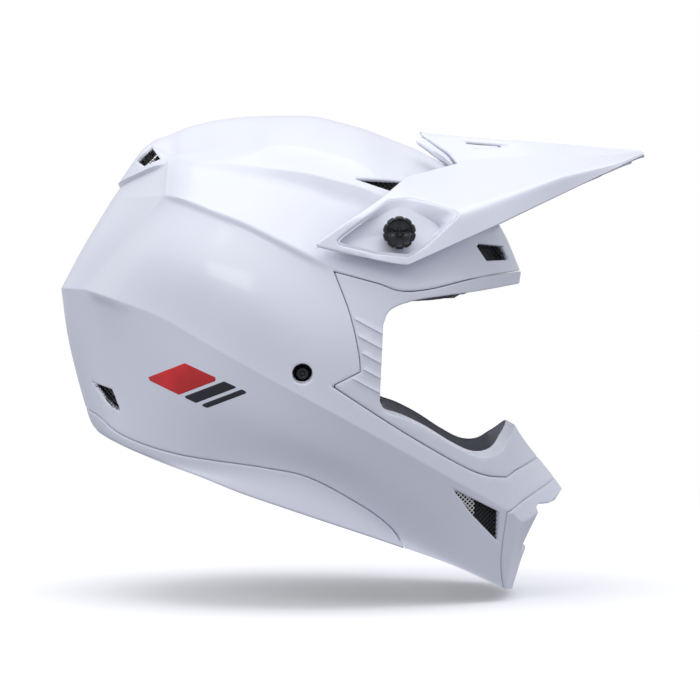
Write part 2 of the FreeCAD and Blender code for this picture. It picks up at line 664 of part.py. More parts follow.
# ---------------------------------------------------------------- check and write
doc.recompute()
for made in doc.Objects:
    for state in ("Invalid", "Error"):
        if state in made.State:
            raise RuntimeError(f"{made.Name} is {state}")
os.makedirs("parts", exist_ok=True)
for name, made in NODES.items():
    shape = made.Shape
    if shape.isNull() or not shape.isValid() or not shape.Solids:
        raise RuntimeError(f"{name} has no valid solid")
    print(name, "solids", len(shape.Solids), "volume", round(shape.Volume))
    shape.exportStep(f"parts/{name}.step")
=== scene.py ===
"""Looks of the motocross helmet: panels, visor, grilles, hardware and soft liner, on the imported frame.

Lengths are in millimetres while a shape is worked out, and in metres once it is a Blender object.
+X is forward, +Y the wearer's left, +Z up; the origin is the centre of the head cavity.
"""
import math
import bmesh
import bpy
import numpy as np
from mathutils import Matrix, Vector
from mathutils.bvhtree import BVHTree


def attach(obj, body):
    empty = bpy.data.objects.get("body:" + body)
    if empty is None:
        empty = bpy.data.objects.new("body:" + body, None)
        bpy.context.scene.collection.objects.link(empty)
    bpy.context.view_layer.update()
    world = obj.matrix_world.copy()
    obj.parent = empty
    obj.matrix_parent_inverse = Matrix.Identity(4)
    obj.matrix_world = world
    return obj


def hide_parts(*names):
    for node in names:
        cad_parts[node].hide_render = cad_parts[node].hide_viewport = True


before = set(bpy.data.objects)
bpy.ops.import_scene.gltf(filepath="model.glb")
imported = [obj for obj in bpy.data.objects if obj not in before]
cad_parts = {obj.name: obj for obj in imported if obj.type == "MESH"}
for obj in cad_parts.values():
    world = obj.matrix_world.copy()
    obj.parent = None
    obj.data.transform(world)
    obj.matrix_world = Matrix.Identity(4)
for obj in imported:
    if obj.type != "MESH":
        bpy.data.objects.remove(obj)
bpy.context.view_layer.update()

MM = 0.001
HALF_WIDTH = 127.0        # the form's widest half, which scales its inner layers
SHELL_WALL = 3.6
TRIM_WALL = 4.6
VENT_WALL = 1.3           # shell wall beside a vent
SEAM = 0.25               # half the gap between two panels
PANEL_ROLL = 0.9          # radius of a panel's rolled edge
MERGED_WITHIN = 2e-6      # metres
ON_MIDDLE = 1e-4          # a point nearer the middle plane than this lies on it
MIRROR = np.array([1, -1, 1.0])
BEYOND = 200.0            # outside the form, on every side
PIVOT = (61.0, 38.0)      # x, z of the visor's hinge
STRAP_HOLE = (6.0, -42.0)
STRAP_HOLE_RADIUS = 5.8
WINDOW_HALF_WIDTH = 34.0  # of the opening in the mouth-piece
WINDOW_LOW, WINDOW_HIGH = -150.0, -122.0
REAR_VENT_FROM = 9.0      # y where the rear top vent starts

# ---------------------------------------------------------------- lines of the form, rear to front
RIM_LINE = [(-121, 0, -79), (-118, 24, -80), (-110, 45, -83), (-95, 71, -88), (-74, 91, -95),
            (-52, 103, -102), (-28, 110, -111), (5, 113, -122), (34, 107, -132), (64, 94, -143),
            (94, 79, -155), (121, 58, -169), (127, 41, -172), (132, 0, -175)]
SEAM_LINE = [(-127, 0, -68), (-123, 24, -70), (-113, 46, -74), (-97, 72, -80), (-77, 91, -86),
             (-53, 102, -92), (-27, 108, -95), (3, 110, -100), (30, 104, -112), (57, 94, -132),
             (91, 80, -150), (121, 59, -165), (128, 42, -168), (133, 0, -171)]
HIP_LINE = [(-138, 0, -27), (-133, 24, -26), (-118, 46, -25), (-100, 74, -32), (-77, 98, -42),
            (-50, 113, -56), (-22, 119, -68), (6, 120, -79), (35, 114, -92), (63, 103, -110),
            (91, 88, -127), (123, 64, -144), (132, 44, -150), (142, 0, -146)]
BELT_LINE = [(-143, 0, 7), (-138, 24, 7), (-124, 44, 6), (-104, 76, 0), (-76, 102, -10),
             (-47, 118, -26), (-18, 125, -42), (10, 127, -57), (39, 121, -73), (67, 110, -89),
             (96, 93, -106), (126, 68, -124), (138, 46, -131), (162, 0, -115)]
FLANK_LINE = [(-129, 0, 33), (-122, 30, 33), (-100, 58, 34), (-82, 87, 28), (-60, 107, 20),
              (-38, 118, 10), (-15, 125, -3), (10, 127, -17), (39, 123, -26), (67, 113, -32),
              (93, 98, -38), (114, 73, -47), (123, 42, -56), (128, 0, -61)]
SHOULDER_LINE = [(-112, 0, 61), (-104, 32, 61), (-75, 72, 61), (-62, 84, 57), (-45, 96, 50),
                 (-27, 105, 43), (-7, 113, 33), (15, 117, 22), (34, 117, 15), (61, 112, 7),
                 (87, 101, 10), (108, 82, 13), (126, 50, 15), (137, 0, 17)]
BAND_LINE = [(-95, 0, 85), (-91, 25, 85), (-74, 52, 82), (-58, 62, 80), (-40, 70, 78),
             (-22, 77, 75), (-2, 83, 72), (20, 88, 68), (39, 91, 63), (62, 92, 56),
             (85, 86, 47), (106, 70, 42), (121, 42, 40), (128, 0, 38)]
PLATEAU_LINE = [(-90, 0, 92), (-86, 16, 91), (-72, 33, 88), (-56, 42, 89), (-41, 48, 91),
                (-26, 53, 92), (-10, 57, 94), (12, 60, 92), (33, 62, 88), (59, 62, 79),
                (83, 58, 68), (103, 46, 59), (114, 26, 55), (119, 0, 53)]
CROWN_LINE = [(-86, 0, 98), (-82, 0, 99), (-76, 0, 101), (-63, 0, 105), (-49, 0, 108),
              (-31, 0, 110), (-10, 0, 110), (15, 0, 109), (36, 0, 104), (57, 0, 98),
              (79, 0, 89), (95, 0, 79), (105, 0, 69), (109, 0, 65)]

# ---------------------------------------------------------------- side outlines, (x, z)
# A run of two points is straight, a longer one is a curve.
SURROUND = [[(175, 20), (137, 18)], [(137, 18), (108, 13), (79, 6), (62, 5), (50, 9)],
            [(50, 9), (24, 16)], [(24, 16), (33, -8), (38, -30), (39, -41)],
            [(39, -41), (23, -49)], [(23, -49), (61, -74), (96, -95), (112, -102), (125, -104)],
            [(125, -104), (151, -94)], [(151, -94), (175, -88)], [(175, -88), (175, 20)]]
PORT = [[(170, 12), (137, 10)], [(137, 10), (108, 5), (86, 2), (68, -1), (56, -6), (52, -14)],
        [(52, -14), (50, -58)], [(50, -58), (54, -64), (65, -68), (79, -75), (95, -85),
                                 (108, -91), (119, -90), (128, -82), (133, -76)],
        [(133, -76), (139, -68)], [(139, -68), (175, -55)], [(175, -55), (170, 12)]]
UNDER_SEAM = [[(-135, -63), (-118, -69), (-102, -79), (-67, -89), (-17, -96), (10, -102),
               (39, -118), (56, -131), (65, -143)], [(65, -143), (66, -190)],
              [(66, -190), (-135, -190)], [(-135, -190), (-135, -63)]]
MOUTH = [[(125, -125), (158, -108)], [(158, -108), (178, -98)], [(178, -98), (178, -190)],
         [(178, -190), (128, -190)], [(128, -190), (122, -157), (125, -125)]]
VENTS = {
    "side_vent": [(36, 70), (63, 69), (57, 63)],
    "brow_vent": [(106, 33), (124, 32), (128, 24), (113, 23)],
    "rear_top_vent": [(-87, 93), (-80, 84), (-90, 80), (-96, 84)],
    "rear_low_vent": [(-121, -49), (-108, -53), (-102, -66), (-112, -60)],
    "chin_vent": [(92, -109), (120, -124), (120, -142), (104, -125)],
}


# ---------------------------------------------------------------- curves and fields
def hermite(a, b, c, d, t):
    """A point between b and c on the Catmull-Rom curve through a, b, c and d."""
    return (b * (2 * t**3 - 3 * t**2 + 1) + (c - a) * 0.5 * (t**3 - 2 * t**2 + t)
            + c * (3 * t**2 - 2 * t**3) + (d - b) * 0.5 * (t**3 - t**2))


def through(points, params, before, after):
    """Curve points at params, which count in spans from the first point."""
    line = np.concatenate([[before], points, [after]])
    found = []
    for p in params:
        k = min(int(p), len(points) - 2)
        found.append(hermite(*line[k:k + 4], p - k))
    return np.array(found)


def flat_outline(runs, steps=8):
    """The corners of a side outline, with each curved run divided."""
    corners = []
    for run in runs:
        points = np.array(run, float)
        if len(points) > 2:
            params = np.linspace(0, len(points) - 1, (len(points) - 1) * steps + 1)
            points = through(points, params, 2 * points[0] - points[1], 2 * points[-1] - points[-2])
        corners.extend(points[:-1])
    return np.array(corners)


def inside_by(outline, x, z):
    """How far each point lies inside a closed outline; less than 0 outside it."""
    best = np.full(x.shape, 1e9)
    within = np.zeros(x.shape, bool)
    for (x0, z0), (x1, z1) in zip(outline, np.roll(outline, -1, 0)):
        dx, dz = x1 - x0, z1 - z0
        t = np.clip(((x - x0) * dx + (z - z0) * dz) / (dx * dx + dz * dz + 1e-12), 0, 1)
        best = np.minimum(best, np.hypot(x - x0 - t * dx, z - z0 - t * dz))
        crosses = (z0 > z) != (z1 > z)
        with np.errstate(divide="ignore", invalid="ignore"):
            within ^= crosses & (x < (x1 - x0) * (z - z0) / (z1 - z0) + x0)
    return np.where(within, best, -best)


def smoothstep(value, low, high):
    t = np.clip((value - low) / (high - low), 0, 1)
    return t * t * (3 - 2 * t)


# ---------------------------------------------------------------- surfaces
class Surface:
    """A triangulated sheet: points, corner numbers, and any values kept per point."""

    def __init__(self, points, faces, **values):
        self.points = points
        self.faces = faces
        self.values = values

    def copy(self):
        return Surface(self.points.copy(), self.faces.copy(),
                       **{k: v.copy() for k, v in self.values.items()})

    def normals(self):
        p, f = self.points, self.faces
        n = np.cross(p[f[:, 1]] - p[f[:, 0]], p[f[:, 2]] - p[f[:, 0]])
        total = np.zeros_like(p)
        for k in range(3):
            np.add.at(total, f[:, k], n)
        return total / np.maximum(np.linalg.norm(total, axis=1, keepdims=True), 1e-9)

    def split(self, field):
        """Divides the faces along the line where field(surface) is 0."""
        value = field(self)
        f = self.faces
        over = value[f] > 0
        mixed = over.any(1) & ~over.all(1)
        if not mixed.any():
            return self
        edges = {}
        extra = []
        count = len(self.points)

        def between(a, b):
            key = (a, b) if a < b else (b, a)
            if key not in edges:
                edges[key] = count + len(extra)
                t = value[key[0]] / (value[key[0]] - value[key[1]])
                extra.append((key[0], key[1], min(max(t, 0.02), 0.98)))
            return edges[key]

        new = []
        for (a, b, c), (oa, ob, oc) in zip(f[mixed].tolist(), over[mixed].tolist()):
            while (oa == ob) or (oa == oc):
                a, b, c, oa, ob, oc = b, c, a, ob, oc, oa
            ab, ac = between(a, b), between(a, c)
            new += [(a, ab, ac), (ab, b, c), (ab, c, ac)]
        i, j, t = (np.array(v) for v in zip(*extra))
        t = t[:, None]
        self.points = np.vstack([self.points, self.points[i] * (1 - t) + self.points[j] * t])
        t = t[:, 0]
        self.values = {k: np.concatenate([v, v[i] * (1 - t) + v[j] * t])
                       for k, v in self.values.items()}
        self.faces = np.vstack([f[~mixed], np.array(new)])
        return self

    def keep(self, mask):
        """Keeps the faces whose corners all pass, and drops loose points."""
        faces = self.faces[mask[self.faces].all(1)]
        used = np.unique(faces)
        number = np.full(len(self.points), -1)
        number[used] = np.arange(len(used))
        self.points = self.points[used]
        self.values = {k: v[used] for k, v in self.values.items()}
        self.faces = number[faces]
        return self


def grid_surface(grid, **values):
    """A surface from a grid of points, columns by rows."""
    columns, rows = grid.shape[:2]
    number = np.arange(columns * rows).reshape(columns, rows)
    a, b, c, d = (number[:-1, :-1].ravel(), number[1:, :-1].ravel(),
                  number[1:, 1:].ravel(), number[:-1, 1:].ravel())
    faces = np.concatenate([np.stack([a, b, c], 1), np.stack([a, c, d], 1)])
    return Surface(grid.reshape(-1, 3).astype(float), faces,
                   **{k: v.reshape(-1).astype(float) for k, v in values.items()})


def trimmed(surface, inside, radius):
    """Keeps the part of a surface where inside(surface) > 0, with its edge rolled over inwards."""
    for level in (radius, radius * 0.45, radius * 0.12, 0.0):
        surface.split(lambda s, level=level: inside(s) - level)
    depth = inside(surface)
    surface.keep(depth > -0.03)
    depth = np.clip(inside(surface), 0, radius)
    roll = radius - np.sqrt(radius**2 - (radius - depth)**2)
    surface.points -= surface.normals() * (roll * 0.9)[:, None]
    return surface


def open_edges(faces):
    """The edges used by one face only, each in its face's direction."""
    seen = {}
    for a, b, c in faces.tolist():
        for edge in ((a, b), (b, c), (c, a)):
            seen[edge] = True
    return [e for e in seen if (e[1], e[0]) not in seen]


def thick(surface, inner_points, halved=True):
    """Closes a surface into a shell, with inner_points behind its points.

    The edge of a half that lies on the middle plane is left open, for its mirror image."""
    count = len(surface.points)
    y = surface.points[:, 1]
    walls = []
    for a, b in open_edges(surface.faces):
        if halved and abs(y[a]) < ON_MIDDLE and abs(y[b]) < ON_MIDDLE:
            continue
        walls += [(b, a, a + count), (b, a + count, b + count)]
    faces = np.vstack([surface.faces, surface.faces[:, ::-1] + count, np.array(walls)])
    return Surface(np.vstack([surface.points, inner_points]), faces)


def whole(faces):
    """The faces whose three corners differ."""
    a, b, c = faces.T
    return faces[(a != b) & (b != c) & (a != c)]


def both_halves(surface):
    """Joins a left half to its mirror image along the middle plane."""
    p, f = surface.points, surface.faces
    middle = np.abs(p[:, 1]) < ON_MIDDLE
    number = np.arange(len(p)) + len(p)
    number[middle] = np.nonzero(middle)[0]
    points = np.vstack([p, p * MIRROR])
    faces = whole(np.vstack([f, number[f][:, ::-1]]))
    used = np.unique(faces)
    back = np.full(len(points), -1)
    back[used] = np.arange(len(used))
    return Surface(points[used], back[faces])


def facing_out(surface, outward):
    """Turns the faces so that their normals agree with outward."""
    if (surface.normals() * outward).sum() < 0:
        surface.faces = surface.faces[:, ::-1]
    return surface


def welded(surface):
    """Joins the points that share a place."""
    _, first, number = np.unique(np.round(surface.points, 3), axis=0, return_index=True,
                                 return_inverse=True)
    return Surface(surface.points[first], whole(number.reshape(-1)[surface.faces]))


def mirror_image(surface):
    return Surface(surface.points * MIRROR, surface.faces[:, ::-1])


def placed(name, data):
    """A new object in the scene."""
    made = bpy.data.objects.new(name, data)
    bpy.context.scene.collection.objects.link(made)
    return made


def mesh_object(name, surface, material, body="helmet", sharp=40.0):
    """A Blender object from a surface in millimetres."""
    mesh = bpy.data.meshes.new(name)
    mesh.from_pydata((surface.points * MM).tolist(), [], surface.faces.tolist())
    mesh.validate()
    bm = bmesh.new()
    bm.from_mesh(mesh)
    bmesh.ops.remove_doubles(bm, verts=bm.verts, dist=MERGED_WITHIN)
    bmesh.ops.dissolve_degenerate(bm, edges=bm.edges, dist=MERGED_WITHIN / 2)
    bm.to_mesh(mesh)
    bm.free()
    made = placed(name, mesh)
    finish_piece(made, material, body, sharp)
    return made


def finish_piece(made, material, body, sharp):
    """Gives a piece its material, its shading and the body that it rides on."""
    made.data.materials.clear()
    made.data.materials.append(material)
    made.data.shade_smooth()
    if sharp:
        made.data.set_sharp_from_angle(angle=math.radians(sharp))
    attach(made, body)


# ---------------------------------------------------------------- the outer form
def spaced(spans, per_span, close):
    """Parameters along a line of spans, with more of them beside the points in close."""
    params = set(np.round(np.linspace(0, spans, spans * per_span + 1), 6))
    for at in close:
        for d in BESIDE_CREASE:
            params.update(p for p in (at - d, at + d) if 0 < p < spans)
    return np.array(sorted(params))


LINES = [np.array(line, float) for line in (RIM_LINE, SEAM_LINE, HIP_LINE, BELT_LINE, FLANK_LINE,
                                            SHOULDER_LINE, BAND_LINE, PLATEAU_LINE, CROWN_LINE)]
BELT, SHOULDER, BAND = 3, 5, 6   # rows of the creases and of the ridge
STRIP = 2                        # column of the rear strip's edge
PER_COLUMN_SPAN = 11
PER_ROW_SPAN = 15
BESIDE_CREASE = (0.02, 0.05, 0.1)   # in spans
ROW_SPAN = 38.0                  # of one row, roughly
RIM_SPAN = 12.0                  # of the lowest row
SHOULDER_RISE, SHOULDER_RAMP = 1.7, 3.2
BAND_RISE_BACK, BAND_RISE_MORE, BAND_RAMP = 0.6, 2.4, 7.0
BLOCK_RISE, BLOCK_RAMP = 2.4, 0.9
STRIP_CHAMFER = 2.0


def creased(points, params, creases, mirrored_ends=(False, False)):
    """A curve through points that is smooth but for its creases."""
    stops = [0] + list(creases) + [len(points) - 1]
    found = []
    for low, high in zip(stops, stops[1:]):
        part = points[low:high + 1]
        at = [p - low for p in params if (low <= p < high) or (p == high == stops[-1])]
        before = 2 * part[0] - part[1]
        after = 2 * part[-1] - part[-2]
        if low == 0 and mirrored_ends[0]:
            before = part[1] * MIRROR
        if high == stops[-1] and mirrored_ends[1]:
            after = part[-2] * MIRROR
        found.append(through(part, at, before, after))
    return np.concatenate(found)


def form_surface():
    """One half of the outer form, with u and v, the column and row of each point."""
    u = spaced(len(LINES[0]) - 1, PER_COLUMN_SPAN, (STRIP,))
    v = spaced(len(LINES) - 1, PER_ROW_SPAN, (BELT, SHOULDER, BAND))
    rows = np.array([creased(line, u, (STRIP,), (True, True)) for line in LINES])
    grid = np.array([creased(rows[:, k], v, (BELT, SHOULDER), (False, True))
                     for k in range(len(u))])
    grid[:, :, 1] = np.maximum(grid[:, :, 1], 0)
    half = grid_surface(grid, u=np.repeat(u[:, None], len(v), 1), v=np.repeat(v[None], len(u), 0))
    return facing_out(half, half.points)


def step(value, height, ramp):
    """A raised field: height above 0, sloping down over ramp below it."""
    return height * np.clip(1 + value / ramp, 0, 1)


def across_line(x, z, start, end):
    """How far each point lies above the line from start to end."""
    dx, dz = end[0] - start[0], end[1] - start[1]
    return ((z - start[1]) * dx - (x - start[0]) * dz) / math.hypot(dx, dz)


def moulded(surface):
    """Raises the crown panel, the ridge and the exhaust block, and chamfers the rear strip."""
    for level in (-BLOCK_RAMP, 0.0):
        surface.split(lambda s, level=level: block_field(s) - level)
    u, v = surface.values["u"], surface.values["v"]
    x, y, z = surface.points.T
    forward = smoothstep(x, -78, -66) * (1 - smoothstep(x, 6, 26))
    rise = step((v - SHOULDER) * ROW_SPAN, SHOULDER_RISE, SHOULDER_RAMP) * forward
    growing = (BAND_RISE_BACK + BAND_RISE_MORE * smoothstep(x, -70, 30)) * smoothstep(x, -76, -60)
    growing = growing * (1 - smoothstep(x, 36, 62))
    rise = rise + step((v - BAND) * ROW_SPAN, 1.0, BAND_RAMP) * growing
    rise = rise * (smoothstep(y, 0, 30) * 0.5 + 0.5)
    block = step(block_field(surface), BLOCK_RISE, BLOCK_RAMP) * (1 - smoothstep(x, -84, -73))
    rise = rise + block * (1 - smoothstep(z, 90, 99))
    low = 1 - smoothstep(v, BELT - 0.25, BELT)
    facet = np.clip((u - STRIP) / 0.3, 0, 1) * (1 - smoothstep(u, STRIP + 0.5, STRIP + 1.6))
    rise = rise - STRIP_CHAMFER * facet * low * smoothstep(v, 0.8, 1.6)
    middle = y < ON_MIDDLE
    surface.points += surface.normals() * rise[:, None]
    surface.points[middle, 1] = 0
    return surface


def block_field(surface):
    """Height over the lower edge of the exhaust block at the top of the rear."""
    return across_line(surface.points[:, 0], surface.points[:, 2], (-112, 67), (-74, 81))


# ---------------------------------------------------------------- materials
def toned(color, factor):
    return tuple(c * factor for c in color)


def principled(name, color, roughness, **sockets):
    """A material and its shader, with plain values set on the shader's own sockets."""
    made = bpy.data.materials.new(name)
    made.use_nodes = True
    shader = made.node_tree.nodes["Principled BSDF"]
    shader.inputs["Base Color"].default_value = (*color, 1)
    shader.inputs["Roughness"].default_value = roughness
    for socket, value in sockets.items():
        shader.inputs[socket.replace("_", " ")].default_value = value
    return made, shader


def node_of(material, kind, **values):
    made = material.node_tree.nodes.new(kind)
    for key, value in values.items():
        if key in made.inputs:
            made.inputs[key].default_value = value
        else:
            setattr(made, key, value)
    return made


def joined(material, out, into):
    material.node_tree.links.new(out, into)


def place_of(material):
    """Object coordinates, which stay with the piece."""
    return node_of(material, "ShaderNodeTexCoord").outputs["Object"]


def ramp_of(material, value, stops):
    """Colours or greys along a value from 0 to 1."""
    made = node_of(material, "ShaderNodeValToRGB")
    elements = made.color_ramp.elements
    while len(elements) < len(stops):
        elements.new(0.5)
    for element, (at, color) in zip(elements, stops):
        element.position = at
        element.color = (*color, 1) if len(color) == 3 else color
    joined(material, value, made.inputs["Fac"])
    return made.outputs["Color"]


def bump_of(material, shader, heights, distance, strength=1.0):
    made = node_of(material, "ShaderNodeBump", Strength=strength, Distance=distance)
    joined(material, heights, made.inputs["Height"])
    joined(material, made.outputs["Normal"], shader.inputs["Normal"])


def noise_of(material, scale, detail=3.0, roughness=0.5):
    made = node_of(material, "ShaderNodeTexNoise", Scale=scale, Detail=detail, Roughness=roughness)
    joined(material, place_of(material), made.inputs["Vector"])
    return made.outputs["Fac"]


def shade_range(material, shader, value, low, high, socket="Base Color"):
    """Varies a socket between two colours or greys as value goes from low to high."""
    joined(material, ramp_of(material, value, [(0.3, low), (0.7, high)]), shader.inputs[socket])


def painted(name, color, roughness, coat):
    """Sprayed plastic: slight orange peel under a clear coat, with faint handling haze."""
    made, shader = principled(name, color, roughness, Coat_Weight=coat, Coat_Roughness=0.14,
                              Coat_IOR=1.5, Specular_IOR_Level=0.5)
    shade_range(made, shader, noise_of(made, 14, 4), toned(color, 0.975), color)
    shade_range(made, shader, noise_of(made, 38, 5, 0.65), (roughness * 0.85,) * 3,
                (roughness * 1.2,) * 3, "Roughness")
    bump_of(made, shader, noise_of(made, 620, 2), 0.00004, 0.35)
    return made


def moulded_plastic(name, color, roughness, grain=900, depth=0.00008):
    """Plastic from a textured mould: slight mottling and a fine grain."""
    made, shader = principled(name, color, roughness, Specular_IOR_Level=0.5)
    shade_range(made, shader, noise_of(made, 45, 4), toned(color, 0.75), toned(color, 1.25))
    bump_of(made, shader, noise_of(made, grain, 3), depth, 0.5)
    return made


def wave_of(material, way, scale, distortion, detail=2.0):
    """Soft bands across an axis."""
    made = node_of(material, "ShaderNodeTexWave", wave_type="BANDS", bands_direction=way,
                   Scale=scale, Distortion=distortion, Detail=detail)
    joined(material, place_of(material), made.inputs["Vector"])
    return made.outputs["Fac"]


def woven(name, color, pitch, sheen):
    """Knitted or woven cloth: two crossed waves and a soft sheen."""
    made, shader = principled(name, color, 0.85, Sheen_Weight=sheen, Sheen_Roughness=0.5)
    both = node_of(made, "ShaderNodeMath", operation="MULTIPLY")
    joined(made, wave_of(made, "X", 0.32 / pitch, 0.6, 1.0), both.inputs[0])
    joined(made, wave_of(made, "Z", 0.32 / pitch, 0.6, 1.0), both.inputs[1])
    shade_range(made, shader, both.outputs[0], toned(color, 0.6), toned(color, 1.5))
    bump_of(made, shader, both.outputs[0], 0.0003, 0.8)
    return made


def webbing(name, color):
    """Nylon strap: ribs across and a fine diagonal weave."""
    made, shader = principled(name, color, 0.6, Sheen_Weight=0.25, Sheen_Roughness=0.4)
    both = node_of(made, "ShaderNodeMath", operation="MULTIPLY_ADD")
    both.inputs[1].default_value = 0.5
    joined(made, wave_of(made, "DIAGONAL", 420.0, 0.4), both.inputs[0])
    joined(made, wave_of(made, "X", 230.0, 0.3), both.inputs[2])
    shade_range(made, shader, both.outputs[0], toned(color, 0.6), toned(color, 1.6))
    bump_of(made, shader, both.outputs[0], 0.0003, 0.9)
    return made


def foamed(name, color):
    """Expanded bead foam: pale cells with darker joints."""
    made, shader = principled(name, color, 0.8)
    cells = node_of(made, "ShaderNodeTexVoronoi", Scale=330.0, feature="DISTANCE_TO_EDGE")
    joined(made, place_of(made), cells.inputs["Vector"])
    joined(made, ramp_of(made, cells.outputs["Distance"],
                         [(0.0, toned(color, 0.5)), (0.12, color)]),
           shader.inputs["Base Color"])
    bump_of(made, shader, cells.outputs["Distance"], 0.0008, 0.5)
    return made


def brushed_metal(name, color, roughness):
    """Bare metal with a worn, uneven polish."""
    made, shader = principled(name, color, roughness, Metallic=1.0)
    shade_range(made, shader, noise_of(made, 260, 6, 0.7), (roughness * 0.7,) * 3,
                (roughness * 1.4,) * 3, "Roughness")
    bump_of(made, shader, noise_of(made, 900, 2), 0.00003, 0.3)
    return made


gloss_white = painted("gloss_white", (0.78, 0.795, 0.86), 0.36, 0.6)
satin_white = painted("satin_white", (0.76, 0.775, 0.84), 0.45, 0.2)
mesh_black = moulded_plastic("mesh_black", (0.035, 0.035, 0.037), 0.45)
mesh_silver = moulded_plastic("mesh_silver", (0.72, 0.72, 0.68), 0.35)
knob_black = moulded_plastic("knob_black", (0.012, 0.012, 0.013), 0.22, 400, 0.00004)
nut_metal = brushed_metal("nut_metal", (0.55, 0.55, 0.56), 0.35)
rivet_black = moulded_plastic("rivet_black", (0.01, 0.01, 0.011), 0.3)
foam = foamed("foam", (0.045, 0.045, 0.048))
liner_fabric = woven("liner_fabric", (0.03, 0.03, 0.034), 0.0016, 0.3)
cheek_fabric = woven("cheek_fabric", (0.022, 0.022, 0.025), 0.0012, 0.35)
strap_cloth = webbing("strap_cloth", (0.02, 0.02, 0.022))
ring_steel = brushed_metal("ring_steel", (0.6, 0.6, 0.61), 0.22)
thread_grey = moulded_plastic("thread_grey", (0.12, 0.12, 0.125), 0.7)
decal_ink = moulded_plastic("decal_ink", (0.02, 0.02, 0.025), 0.3)
decal_red = moulded_plastic("decal_red", (0.62, 0.02, 0.02), 0.3)

# ---------------------------------------------------------------- outer panels
form_half = moulded(form_surface())
side_lines = {name: flat_outline(runs) for name, runs in (
    ("surround", SURROUND), ("port", PORT), ("under", UNDER_SEAM), ("mouth", MOUTH))}
vent_lines = {name: np.array(points, float) for name, points in VENTS.items()}


def scaled_in(surface, inset):
    """The surface's points, moved towards the origin by inset where the form is widest."""
    return surface.points * (1 - np.reshape(inset, (-1, 1)) / HALF_WIDTH)


def thin_at_vents(surface):
    """The shell's wall, thinned round its vents so that their meshes sit near its face."""
    x, z = surface.points[:, 0], surface.points[:, 2]
    nearest = np.max([inside_by(outline, x, z) for outline in vent_lines.values()], axis=0)
    return VENT_WALL + (SHELL_WALL - VENT_WALL) * smoothstep(-nearest, 1.0, 7.0)


def panel(node_name, inside, wall, material, detail=None):
    """A panel of the form where inside > 0, closed behind by its scaled inner face."""
    part = trimmed(form_half.copy(), inside, PANEL_ROLL)
    if detail:
        part = detail(part)
    behind = scaled_in(part, wall(part) if callable(wall) else wall)
    closed = both_halves(thick(part, behind))
    made = mesh_object(node_name + "_panel", closed, material)
    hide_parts(node_name)
    return made


def shell_field(s):
    x, z = s.points[:, 0], s.points[:, 2]
    depth = np.minimum.reduce([-inside_by(side_lines[k], x, z) for k in side_lines])
    for name, outline in vent_lines.items():
        clear = -inside_by(outline, x, z) + SEAM
        if name == "rear_top_vent":
            clear = np.maximum(clear, REAR_VENT_FROM - s.points[:, 1])
        depth = np.minimum(depth, clear)
    from_hole = np.hypot(x - STRAP_HOLE[0], z - STRAP_HOLE[1]) - STRAP_HOLE_RADIUS
    return np.minimum(depth, from_hole + SEAM) - SEAM


def trim_field(s):
    x, z = s.points[:, 0], s.points[:, 2]
    return np.minimum(inside_by(side_lines["surround"], x, z) - SEAM,
                      -inside_by(side_lines["port"], x, z))


def under_field(s):
    x, z = s.points[:, 0], s.points[:, 2]
    return np.minimum(inside_by(side_lines["under"], x, z) - SEAM, s.values["v"] * RIM_SPAN)


def mouth_field(s):
    x, y, z = s.points.T
    window = np.minimum.reduce([WINDOW_HALF_WIDTH - y, z - WINDOW_LOW, WINDOW_HIGH - z])
    return np.minimum.reduce([inside_by(side_lines["mouth"], x, z) - SEAM, -window,
                              -inside_by(side_lines["port"], x, z)])


RIB_TOP = -10.0    # height of the top rib at RIB_FROM
RIB_FROM = 34.0
RIB_PITCH = 8.6
RIB_SLOPE = 0.55
RIB_COUNT = 5
RIB_RISE = 1.0
RIB_ABOVE = 2.6    # how far a rib slopes away above its ridge
RIB_BELOW = 0.6    # and below it


def rib_height(surface):
    """Height above the top rib's line, which slopes down to the front."""
    return surface.points[:, 2] + RIB_SLOPE * (surface.points[:, 0] - RIB_FROM) - RIB_TOP


def ribbed(surface):
    """Fine ribs down the temple, steep on their lower sides."""
    for k in range(RIB_COUNT):
        for level in (RIB_ABOVE, 0.0, -RIB_BELOW):
            at = level - k * RIB_PITCH
            surface.split(lambda s, at=at: rib_height(s) - at)
    height = rib_height(surface)
    rise = np.zeros(len(height))
    for k in range(RIB_COUNT):
        over = height + k * RIB_PITCH
        rise = np.maximum(rise, np.minimum(1 - over / RIB_ABOVE, 1 + over / RIB_BELOW))
    x, z = surface.points[:, 0], surface.points[:, 2]
    edge = inside_by(side_lines["surround"], x, z)
    rise = RIB_RISE * rise * smoothstep(edge, 0.8, 2.4) * (1 - smoothstep(x, 52, 55))
    surface.points += np.outer(rise, (0.1, 0.995, 0))
    return surface


panel("outer_shell", shell_field, thin_at_vents, gloss_white)
panel("eyeport_trim", trim_field, TRIM_WALL, satin_white, detail=ribbed)
panel("rim_trim", under_field, TRIM_WALL, satin_white)
panel("mouth_bezel", mouth_field, TRIM_WALL, gloss_white)

# ---------------------------------------------------------------- grilles
def bvh_of(surface):
    return BVHTree.FromPolygons(surface.points.tolist(), surface.faces.tolist())


def cast_on(tree, x, z):
    """The point where a line from the left side, across the helmet, meets a surface."""
    hit = tree.ray_cast(Vector((x, BEYOND, z)), Vector((0, -1, 0)))
    return None if hit[0] is None else np.array(hit[0])


def wire_mesh(name, surface, material, wire, replaced):
    """Woven wire along every edge of a sheet of squares."""
    points, squares = surface
    mesh = bpy.data.meshes.new(name)
    mesh.from_pydata((points * MM).tolist(), [], squares)
    mesh.validate()
    made = placed(name, mesh)
    modifier = made.modifiers.new("wires", "WIREFRAME")
    modifier.thickness = wire * MM
    modifier.use_boundary = True
    modifier.use_replace = True
    modifier.use_even_offset = False
    applied(made)
    finish_piece(made, material, "helmet", 30)
    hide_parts(replaced)


